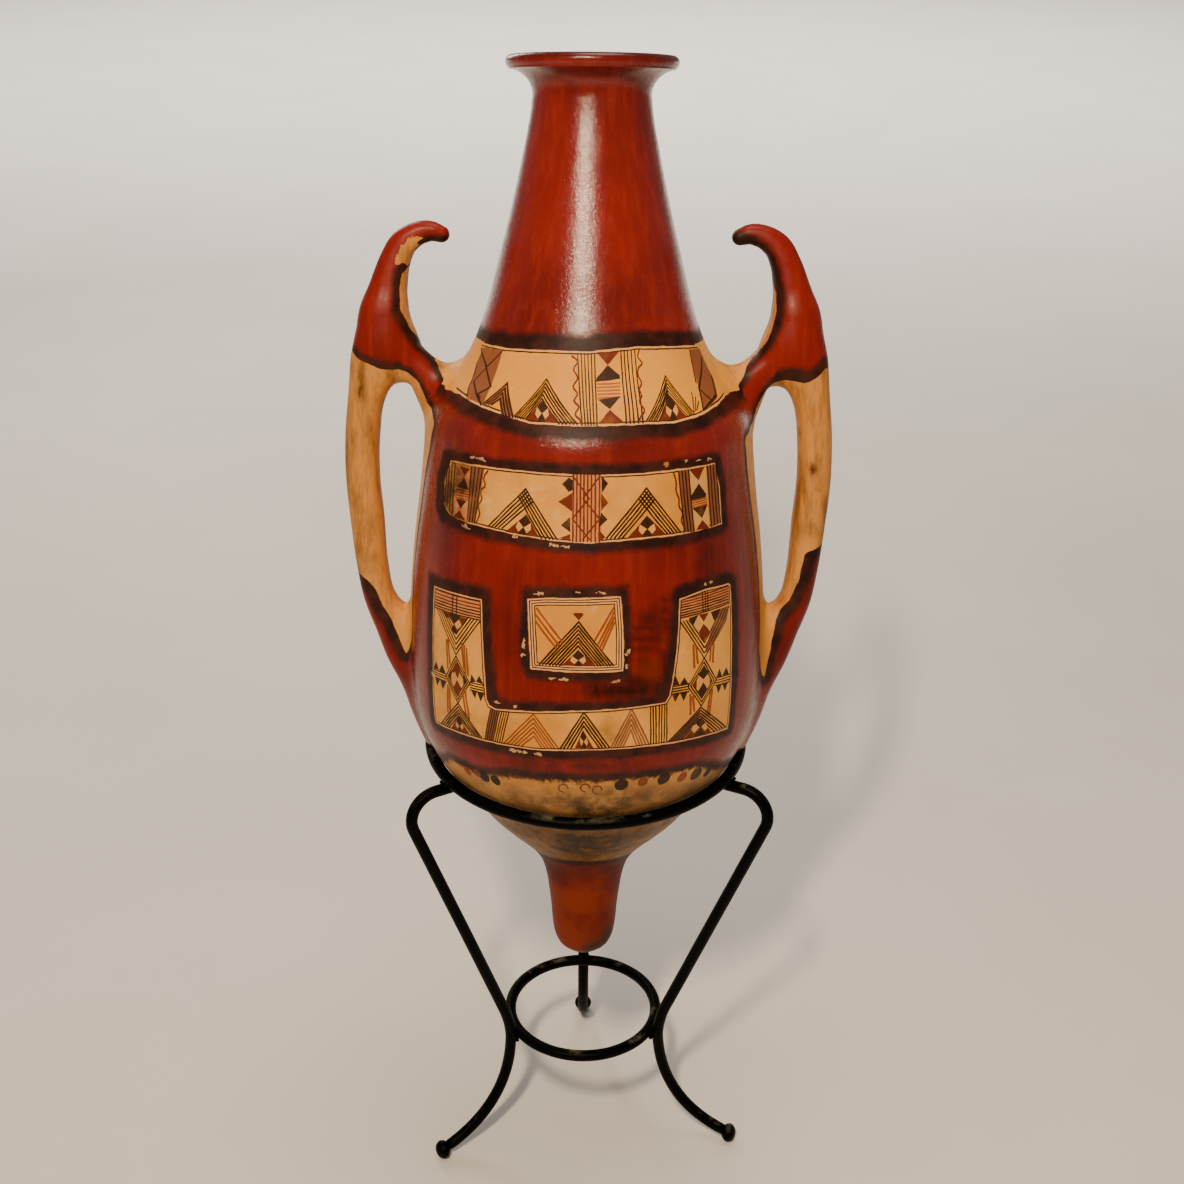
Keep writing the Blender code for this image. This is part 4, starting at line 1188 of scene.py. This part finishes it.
def bezier(controls, parts):  # points of a curve, without its first
    made = []
    for i in range(1, parts + 1):
        t = i / parts
        level = list(controls)
        while len(level) > 1:
            level = [a.lerp(b, t) for a, b in zip(level, level[1:])]
        made.append(level[0])
    return made


def legPath(azimuths, arm, footRadius):  # a leg's middle line, from its arm to its foot
    parts = stand["parts"]
    lowerHeight = stand["ringHeights"]["lower_ring"]
    upperHeight = stand["ringHeights"]["upper_ring"]
    armHeight = upperHeight - stand["bar"] - stand["weldGap"]
    bend = stand["bendRadius"]
    centre = Vector((upperRadius + arm, armHeight - bend))
    touch = Vector((lowerRadius + stand["bar"] + stand["weldGap"], lowerHeight))
    knee = touch + Vector((stand["kneeOut"], stand["kneeAbove"]))
    reach = knee - centre
    tangent = math.atan2(reach.y, reach.x) + math.acos(bend / reach.length)
    outline = [Vector((upperRadius - stand["armInside"], armHeight))]
    for i in range(parts["bend"] + 1):
        angle = 0.5 * math.pi + (tangent - 0.5 * math.pi) * i / parts["bend"]
        outline.append(centre + bend * Vector((math.cos(angle), math.sin(angle))))
    straight = outline[-1]
    slope = (knee.x - straight.x) / (knee.y - straight.y)
    outline += [straight.lerp(knee, i / parts["straight"]) for i in range(1, parts["straight"] + 1)]
    outline += bezier((knee, Vector((touch.x, knee.y - stand["kneeOut"] / slope)), touch), parts["knee"])
    tilt = math.radians(stand["footTilt"])
    end = Vector((footRadius, stand["knob"] - 0.0001))
    before = end - stand["footReach"] * Vector((math.cos(tilt), -math.sin(tilt)))
    outline += bezier((touch, touch - Vector((0, stand["footSweep"])), before, end), parts["foot"])
    atTop, atKnee, atFoot = azimuths
    path = []
    for point in outline:
        share = (point.y - lowerHeight) / (upperHeight - lowerHeight)
        azimuth = atKnee + (atTop - atKnee) * share
        if share < 0:
            azimuth = atKnee + (atFoot - atKnee) * (1 - point.y / lowerHeight)
        angle = math.radians(azimuth)
        path.append(Vector((lowerCentre.x + point.x * math.sin(angle),
                            lowerCentre.y - point.x * math.cos(angle), point.y)))
    return path


def addBeads(piece, places, seed):  # weld metal, drawn out along the joint and lumpy
    rng = random.Random(seed)
    bm = bmesh.new()
    bm.from_mesh(piece.data)
    for place, along, long, high in places:
        turn = along.to_track_quat("X", "Z").to_matrix().to_4x4()
        for i in range(3):
            lumps = Vector([rng.uniform(-1, 1) * weld["lump"] for _ in range(3)])
            shift = along * (i - 1) * long * 0.55 + lumps
            size = Matrix.Diagonal((long * rng.uniform(0.5, 0.65), high * rng.uniform(0.8, 1.1), high, 1))
            bmesh.ops.create_icosphere(bm, subdivisions=3, radius=1.0,
                                       matrix=Matrix.Translation(place + shift) @ turn @ size)
    bm.to_mesh(piece.data)
    bm.free()
    piece.data.shade_smooth()


def beadPlaces(atTop, atKnee):
    bar, gap = stand["bar"], stand["weldGap"]
    top, knee = math.radians(atTop), math.radians(atKnee)
    places = []
    for centre, radius, height, angle, drop, out in (
            (upperCentre, upperRadius, stand["ringHeights"]["upper_ring"], top, bar / 2 + gap / 2,
             -weld["sink"]),
            (lowerCentre, lowerRadius, stand["ringHeights"]["lower_ring"], knee, 0.0, bar / 2 + gap / 2)):
        outward = Vector((math.sin(angle), -math.cos(angle), 0))
        sideways = Vector((math.cos(angle), math.sin(angle), 0))
        middle = Vector((centre.x, centre.y, height - drop)) + outward * (radius + out)
        if drop:
            places += [(middle + sideways * side * weld["aside"], outward, *weld["atRing"])
                       for side in (-1, 1)]
        else:
            places += [(middle + Vector((0, 0, side * weld["aside"])), sideways, *weld["atKnee"])
                       for side in (-1, 1)]
    return places


def buildStand():
    made = []
    for node, centre, radius in (("upper_ring", upperCentre, upperRadius),
                                 ("lower_ring", lowerCentre, lowerRadius)):
        parts = stand["parts"]["ring"][node]
        path = ringPath(centre, radius, stand["ringHeights"][node], parts)
        made.append((node, barMesh(node + "_bar", path, [0.5 * stand["bar"]] * parts, True, len(made) + 3)))
    for node, (atTop, atKnee, atFoot, arm, footRadius) in stand["legs"].items():
        path = legPath((atTop, atKnee, atFoot), arm, footRadius)
        radii = [0.5 * stand["bar"]] * len(path)
        foot = path.pop()
        radii.pop()
        out = Vector((math.sin(math.radians(atFoot)), -math.cos(math.radians(atFoot)), 0))
        parts, end = stand["parts"]["knob"], stand["knobEnd"]
        for i in range(parts + 1):
            share = -end + 2 * end * i / parts
            path.append(foot + out * share * 0.5 * stand["knobLength"])
            radii.append(max(stand["knob"] * math.sqrt(1 - share * share), stand["knobTip"]))
        piece = barMesh(node + "_bar", path, radii, False, len(made) + 3)
        addBeads(piece, beadPlaces(atTop, atKnee), len(made) + 20)
        made.append((node, piece))
    return made


standPieces = buildStand()
print("stand built:", len(standPieces), "bars")


# Earthenware, hand-built, covered with a red clay slip and burnished with a pebble before firing: a deep
# brick red with a soft wet-looking gloss, the ochre and black painted over it with a fibre brush and a
# little duller.
paintedClay = {
    "slipDark": "#5a100c", "slip": "#7e1a14", "slipLight": "#9a3020",
    "blackDeep": "#1e100c", "blackThin": "#3e1e16", "smearBrown": "#2c0f08",
    "creamWarm": "#d38b33", "cream": "#e8a54b", "creamPale": "#e9bc7c", "creamHigh": "#e29630",
    "barBuff": "#c98a46", "barGrime": "#5e3517",
    "toeOrange": "#762404", "toeRed": "#540b01", "lipShade": "#3c0806",
    "stainAndShadeBrown": "#2a1009", "soot": "#221d14", "grime": "#64482a",
    "under": "#6a4016", "skirtDull": "#a67c50",
    "slipRough": 0.2, "creamRough": 0.42, "blackRough": 0.46, "toeRough": 0.55,
    "ior": 1.45, "specular": 0.2, "coat": 0.75, "coatRough": 0.17,
    "rubX": 0.0475, "rubZ": 0.106,  # the middle of the rubbed place, in metres
}


def jarCoords(tree):  # the place in the jar's own frame, in metres: z runs up its axis
    coords = addNode(tree, "TexCoord")
    return addNode(tree, "Mapping", {"Location": jarOrigin, "Rotation": (jarLean, 0, 0)},
                   {0: (coords, "Object")},
                   vector_type="TEXTURE")


def paintedClayMaterial():
    made, tree, shader = newMaterial("burnished slip earthenware")
    look = paintedClay
    coords = jarCoords(tree)
    position = addNode(tree, "SeparateXYZ", links={0: (coords, 0)})
    height = (position, 2)

    def noise(scale, detail=4.0, roughness=0.55, stretch=None):  # scale in features per metre
        source = (coords, 0)
        if stretch:
            source = (addNode(tree, "Mapping", {"Scale": stretch}, {"Vector": source}), 0)
        return addNode(tree, "TexNoise", {"Scale": scale, "Detail": detail, "Roughness": roughness},
                       {"Vector": source}), 0

    def ramp(source, low, high, toLow=0.0, toHigh=1.0):
        return addNode(tree, "MapRange",
                       {"From Min": low, "From Max": high, "To Min": toLow, "To Max": toHigh},
                       {"Value": source}, interpolation_type="SMOOTHSTEP"), 0

    def join(node, sockets, values):  # sets or links each of a node's sockets
        for socket, value in zip(sockets, values):
            if isinstance(value, (int, float)):
                node.inputs[socket].default_value = value
            elif isinstance(value, str):
                node.inputs[socket].default_value = toLinear(value)
            else:
                tree.links.new(value[0].outputs[value[1]], node.inputs[socket])
        return node

    def maths(operation, first, second):
        return join(addNode(tree, "Math", operation=operation), (0, 1), (first, second)), 0

    def times(first, second):
        return maths("MULTIPLY", first, second)

    def mixed(factor, a, b):  # two colours
        return join(addNode(tree, "Mix", data_type="RGBA"), (0, 6, 7), (factor, a, b)), 2

    def blend(factor, a, b):  # two numbers
        return join(addNode(tree, "Mix", data_type="FLOAT"), (0, 2, 3), (factor, a, b)), 0

    def field(name):
        return addNode(tree, "Attribute", attribute_name=name), "Fac"

    def wander(source, reach):  # noise as plus or minus mm
        return times(maths("SUBTRACT", source, 0.5), reach)

    # the red slip: broad clouds, upright burnishing strokes 3 to 6 mm wide, darker where it lies thick
    red = mixed(ramp(noise(8, 3), 0.28, 0.6), look["slipDark"], look["slip"])
    burnish = noise(1, 3, 0.6, stretch=(150, 150, 9))
    red = mixed(times(ramp(burnish, 0.42, 0.75), 0.38), red, look["slipLight"])
    cloth = noise(1, 4, 0.65, stretch=(300, 300, 40))
    red = mixed(times(ramp(cloth, 0.55, 0.75), 0.25), red, look["slipDark"])
    # the rubbed orange place beside the right arm
    fromX = maths("ABSOLUTE", maths("SUBTRACT", (position, 0), look["rubX"]), 0.0)
    rubX = ramp(fromX, 0.0055, 0.011, 1.0, 0.0)
    fromZ = maths("ABSOLUTE", maths("SUBTRACT", height, look["rubZ"]), 0.0)
    rubZ = ramp(fromZ, 0.010, 0.017, 1.0, 0.0)
    front = ramp((position, 1), -0.02, 0.0, 1.0, 0.0)
    rub = times(times(rubX, rubZ), times(front, 0.75))
    red = mixed(rub, red, look["toeOrange"])
    smeared = times(field("smear"), ramp(noise(1, 4, 0.6, stretch=(160, 160, 60)), 0.25, 0.6, 0.55, 1.0))
    red = mixed(smeared, red, look["smearBrown"])
    # painted shade on the lip's top: the red darkened over its last few mm
    lipTop = jar["lipTop"] * mm
    red = mixed(ramp(height, lipTop - 0.007, lipTop - 0.002, 0.0, 0.8), red, look["lipShade"])
    # brown-black, brushed over the red with soft thin edges
    skirtFray = ramp(height, 0.035, 0.022)
    blackReach = maths("ADD", field("blackEdge"), maths("ADD", wander(noise(60, 3), 6.0),
                                                        wander(noise(380, 2), 3.0)))
    blackMask = ramp(blackReach, -3.2, 3.4)
    blackColour = mixed(ramp(noise(70, 4), 0.35, 0.7), look["blackDeep"], look["blackThin"])
    base = mixed(times(blackMask, ramp(noise(24, 4), 0.2, 0.5, 0.8, 0.97)), red, blackColour)
    # the ochre ground: patchy, paler where it is rubbed, dirtier on the bars and under the girth, and with
    # painted shade darkening it further below the girth
    creamReach = maths("ADD", field("creamEdge"), wander(noise(110, 3), 2.4))
    fray = times(skirtFray, wander(noise(1, 5, 0.75, stretch=(210, 210, 130)), 15.0))
    creamReach = times(maths("ADD", creamReach, fray), maths("SUBTRACT", 1.0, times(skirtFray, 0.9)))
    creamMask = ramp(creamReach, -0.25, 0.3)
    ground = mixed(ramp(noise(16, 4), 0.35, 0.68), look["creamWarm"], look["cream"])
    ground = mixed(times(ramp(noise(75, 5, 0.65), 0.55, 0.75), 0.5), ground, look["creamPale"])
    ground = mixed(ramp(height, 0.26, 0.31, 0.0, 0.7), ground, look["creamHigh"])
    grip = ramp(field("grip"), 0.0, 1.0)
    ground = mixed(times(grip, 0.8), ground, look["barBuff"])
    streaks = ramp(noise(1, 6, 0.7, stretch=(80, 80, 15)), 0.42, 0.68)
    ground = mixed(times(times(grip, streaks), 0.7), ground, look["barGrime"])
    skirt = ramp(height, 0.03, -0.02)
    ground = mixed(ramp(height, 0.03, 0.0, 0.0, 0.6), ground, look["skirtDull"])
    dirt = ramp(noise(26, 6, 0.7), 0.34, 0.66)
    ground = mixed(times(times(skirt, dirt), 0.8), ground, look["grime"])
    # painted shade: the ochre darkened further below the girth
    ground = mixed(ramp(height, -0.012, -0.045, 0.0, 0.72), ground, look["under"])
    speck = ramp(noise(300, 3, 0.7), 0.60, 0.72)
    speckReach = maths("ADD", times(skirt, 0.6), 0.18)
    ground = mixed(times(speck, speckReach), ground, look["stainAndShadeBrown"])
    base = mixed(creamMask, base, ground)
    # the drawn lines, worn through in fine grains
    drawn = addNode(tree, "Attribute", attribute_name="drawn")
    worn = ramp(noise(620, 3, 0.7), 0.26, 0.40, 0.8, 1.0)
    wornWide = ramp(noise(55, 3), 0.25, 0.42, 0.85, 1.0)
    shown = times((drawn, "Alpha"), times(worn, wornWide))
    base = mixed(shown, base, (drawn, "Color"))
    # the flaked place at the left horn's top
    flake = ramp(maths("ADD", field("rubbed"), wander(noise(190, 4), 9.0)), -0.3, 0.5)
    base = mixed(flake, base, ground)
    # the toe: bare orange clay under a red wash, with a dark line where the ochre ends
    toe = field("toe")
    toeReach = maths("ADD", toe, wander(noise(60, 3), 3.0))
    toeCloud = maths("ADD", ramp(noise(30, 5, 0.65), 0.36, 0.66), ramp(toe, 10.0, 50.0, 0.45, -0.25))
    toeColour = mixed(toeCloud, look["toeOrange"], look["toeRed"])
    toeColour = mixed(ramp(toeReach, 4.0, 8.0), look["stainAndShadeBrown"], toeColour)
    base = mixed(ramp(toeReach, -0.6, 0.6), base, toeColour)
    # stains and soot, and painted shade on the shoulder panel's left end, the lower panel's left arm and
    # along the bars' edges
    stainedAndShaded = times(field("stainAndShade"), ramp(noise(45, 6, 0.7), 0.3, 0.66))
    stainedAndShaded = maths("MINIMUM", stainedAndShaded, 0.85)
    stainAndShadeColour = mixed(ramp(height, -0.01, 0.03), look["soot"], look["stainAndShadeBrown"])
    base = mixed(stainedAndShaded, base, stainAndShadeColour)
    join(shader, ("Base Color",), (base,))
    # gloss: the burnished slip shines, the ochre less so, both broken by rubbing
    rough = ramp(noise(130, 4, 0.6), 0.3, 0.7, look["slipRough"] - 0.05, look["slipRough"] + 0.09)
    roughCream = ramp(noise(130, 4, 0.6), 0.3, 0.7, look["creamRough"] - 0.05, look["creamRough"] + 0.12)
    rough = maths("ADD", rough, times(grip, 0.16))
    rough = blend(blackMask, rough, look["blackRough"])
    rough = blend(creamMask, rough, roughCream)
    rough = blend(ramp(toe, 0.0, 4.0), rough, look["toeRough"])
    join(shader, ("Roughness",), (rough,))
    shader.inputs["IOR"].default_value = look["ior"]
    shader.inputs["Specular IOR Level"].default_value = look["specular"]
    shader.inputs["Coat Roughness"].default_value = look["coatRough"]
    shader.inputs["Coat IOR"].default_value = look["ior"]
    polish = ramp(height, 0.10, 0.27, 0.0, 1.0)
    polish = times(polish, ramp(noise(420, 4, 0.7), 0.32, 0.58, 0.25, 1.0))
    painted = maths("MAXIMUM", maths("MAXIMUM", blackMask, creamMask), grip)
    polish = times(polish, maths("SUBTRACT", 1.0, painted))
    join(shader, ("Coat Weight",), (times(polish, look["coat"]),))
    # relief: shallow burnishing facets and a fine grit about 1 mm across
    facets = noise(1, 2, 0.5, stretch=(110, 110, 26))
    grit = noise(480, 5, 0.75)
    bumpWide = addNode(tree, "Bump", {"Strength": 0.35, "Distance": 0.0006}, {"Height": facets})
    bumpFine = addNode(tree, "Bump", {"Strength": 0.42, "Distance": 0.0003},
                       {"Height": grit, "Normal": (bumpWide, 0)})
    tree.links.new(bumpFine.outputs[0], shader.inputs["Normal"])
    pebbles = noise(300, 4, 0.7)
    bumpCoat = addNode(tree, "Bump", {"Strength": 0.8, "Distance": 0.0005},
                       {"Height": pebbles, "Normal": (bumpWide, 0)})
    tree.links.new(bumpCoat.outputs[0], shader.inputs["Coat Normal"])
    return made


# The hollow is the same clay left bare: matt, buff, with the wheel-less maker's finger marks
bareClay = {"light": "#a8734a", "dark": "#7a4a2e", "rough": 0.8}


def bareClayMaterial():
    made, tree, shader = newMaterial("bare fired clay")
    coords = jarCoords(tree)
    clouds = addNode(tree, "TexNoise", {"Scale": 30.0, "Detail": 5.0}, {"Vector": (coords, 0)})
    ramp = rampStops(addNode(tree, "ValToRGB", links={0: (clouds, 0)}),
                     [(0.35, bareClay["dark"]), (0.7, bareClay["light"])])
    tree.links.new(ramp.outputs[0], shader.inputs["Base Color"])
    shader.inputs["Roughness"].default_value = bareClay["rough"]
    wipe = addNode(tree, "Mapping", {"Scale": (25, 25, 160)}, {"Vector": (coords, 0)})
    marksNoise = addNode(tree, "TexNoise", {"Scale": 1.0, "Detail": 3.0}, {"Vector": (wipe, 0)})
    bump = addNode(tree, "Bump", {"Strength": 0.5, "Distance": 0.001}, {"Height": (marksNoise, 0)})
    tree.links.new(bump.outputs[0], shader.inputs["Normal"])
    return made


# Mild steel bar, forged, blackened by oil and heat: near black with a dull satin, rubbed to grey green on
# its upper sides, the grey green there also painted glints where light catches the tops
blackIron = {"dark": "#010101", "scale": "#040302", "worn": "#6e6c56", "rough": 0.42, "specular": 0.05}


def blackIronMaterial():
    made, tree, shader = newMaterial("blackened iron")
    coords = addNode(tree, "TexCoord")
    shape = addNode(tree, "NewGeometry")
    mottle = addNode(tree, "TexNoise", {"Scale": 60.0, "Detail": 5.0, "Roughness": 0.6},
                     {"Vector": (coords, "Object")})
    skin = rampStops(addNode(tree, "ValToRGB", links={0: (mottle, 0)}),
                     [(0.35, blackIron["dark"]), (0.75, blackIron["scale"])])
    rub = addNode(tree, "TexNoise", {"Scale": 38.0, "Detail": 6.0, "Roughness": 0.6},
                  {"Vector": (coords, "Object")})
    parts = addNode(tree, "SeparateXYZ", links={0: (shape, "Normal")})
    upward = addNode(tree, "MapRange", {"From Min": 0.5, "From Max": 0.97}, {"Value": (parts, 2)},
                     interpolation_type="SMOOTHSTEP")
    rubbed = addNode(tree, "MapRange", {"From Min": 0.52, "From Max": 0.66}, {"Value": (rub, 0)},
                     interpolation_type="SMOOTHSTEP")
    # the grey green on upward faces: worn metal, and painted glints on the tops
    wearAndGlint = addNode(tree, "Math", links={0: (upward, 0), 1: (rubbed, 0)}, operation="MULTIPLY")
    faint = addNode(tree, "Math", {1: 0.6}, {0: (wearAndGlint, 0)}, operation="MULTIPLY")
    mix = addNode(tree, "Mix", {7: toLinear(blackIron["worn"])}, {0: (faint, 0), 6: (skin, 0)},
                  data_type="RGBA")
    tree.links.new(mix.outputs[2], shader.inputs["Base Color"])
    gloss = addNode(tree, "MapRange", {"From Min": 0.3, "From Max": 0.7, "To Min": blackIron["rough"] - 0.1,
                                       "To Max": blackIron["rough"] + 0.15}, {"Value": (mottle, 0)})
    tree.links.new(gloss.outputs[0], shader.inputs["Roughness"])
    shader.inputs["Specular IOR Level"].default_value = blackIron["specular"]
    pits = addNode(tree, "TexNoise", {"Scale": 700.0, "Detail": 3.0}, {"Vector": (coords, "Object")})
    bump = addNode(tree, "Bump", {"Strength": 0.4, "Distance": 0.0004}, {"Height": (pits, 0)})
    tree.links.new(bump.outputs[0], shader.inputs["Normal"])
    return made


amphoraMesh.materials.append(paintedClayMaterial())
amphoraMesh.materials.append(bareClayMaterial())
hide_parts("amphora")
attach(amphora, "root")
iron = blackIronMaterial()
for node, piece in standPieces:
    piece.data.materials.append(iron)
    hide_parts(node)
    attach(piece, "root")
print("materials set")


# Floor, studio light and camera
studio = {
    "floorColour": "#e6e2dc",
    "floorShade": "#e0dcd5",
    "floorRough": 0.7,
    "floorHalf": 16,
    "worldColour": "#cfc8c0",
    "worldStrength": 0.32,
    "cameraPlace": (0.0, -1.2735, 1.171),
    "cameraTilt": 63.32,
    "cameraRoll": 0.58,
    "lens": 53.2,
    "shiftX": 0.0041,
    "lights": {  # place, target, size, watts and colour
        "keySoftbox": ((-0.33, -1.58, 2.15), (0, 0, 0.62), (0.12, 0.27), 56, "#ffe4c0"),
        "rimLeft": ((-1.0, 2.0, 1.5), (0, 0, 0.6), (0.4, 1.2), 14, "#fff0e4"),
        "topSoft": ((0.2, 0.2, 2.9), (0, 0, 0.5), (1.2, 1.2), 30, "#fff0dc"),
        "backFloor": ((0, 5.5, 4.0), (0, 5.5, 0), (7, 5), 300, "#fff6ec"),
    },
    "backSpread": 100,
}


def areaLight(name, place, target, size, watts, colour):
    light = bpy.data.lights.new(name, "AREA")
    light.shape = "RECTANGLE"
    light.size, light.size_y = size
    light.energy = watts
    light.color = toLinear(colour)[:3]
    made = bpy.data.objects.new(name, light)
    bpy.context.scene.collection.objects.link(made)
    made.matrix_world = (Matrix.Translation(place)
                         @ (Vector(target) - Vector(place)).to_track_quat("-Z", "Y").to_matrix().to_4x4())
    return made


def buildStudio():
    half = studio["floorHalf"]
    corners = [(-half, -half, 0), (half, -half, 0), (half, half, 0), (-half, half, 0)]
    floor = meshObject("floor", corners, [(0, 1, 2, 3)])
    made, tree, shader = newMaterial("pale studio floor")
    coords = addNode(tree, "TexCoord")
    clouds = addNode(tree, "TexNoise", {"Scale": 3.0, "Detail": 4.0}, {"Vector": (coords, "Object")})
    ramp = rampStops(addNode(tree, "ValToRGB", links={0: (clouds, 0)}),
                     [(0.3, studio["floorShade"]), (0.7, studio["floorColour"])])
    tree.links.new(ramp.outputs[0], shader.inputs["Base Color"])
    shader.inputs["Roughness"].default_value = studio["floorRough"]
    floor.data.materials.append(made)
    world = bpy.data.worlds.new("studio")
    world.use_nodes = True
    background = world.node_tree.nodes["Background"]
    background.inputs["Color"].default_value = toLinear(studio["worldColour"])
    background.inputs["Strength"].default_value = studio["worldStrength"]
    bpy.context.scene.world = world
    lights = {name: areaLight(name, *light) for name, light in studio["lights"].items()}
    lights["backFloor"].data.spread = math.radians(studio["backSpread"])
    camera = bpy.data.cameras.new("camera")
    camera.lens = studio["lens"]
    camera.sensor_width = 36
    camera.shift_x = studio["shiftX"]
    view = bpy.data.objects.new("camera", camera)
    bpy.context.scene.collection.objects.link(view)
    view.matrix_world = (Matrix.Translation(studio["cameraPlace"])
                         @ Matrix.Rotation(math.radians(studio["cameraTilt"]), 4, "X")
                         @ Matrix.Rotation(math.radians(studio["cameraRoll"]), 4, "Z"))
    bpy.context.scene.camera = view


buildStudio()
print("studio set")
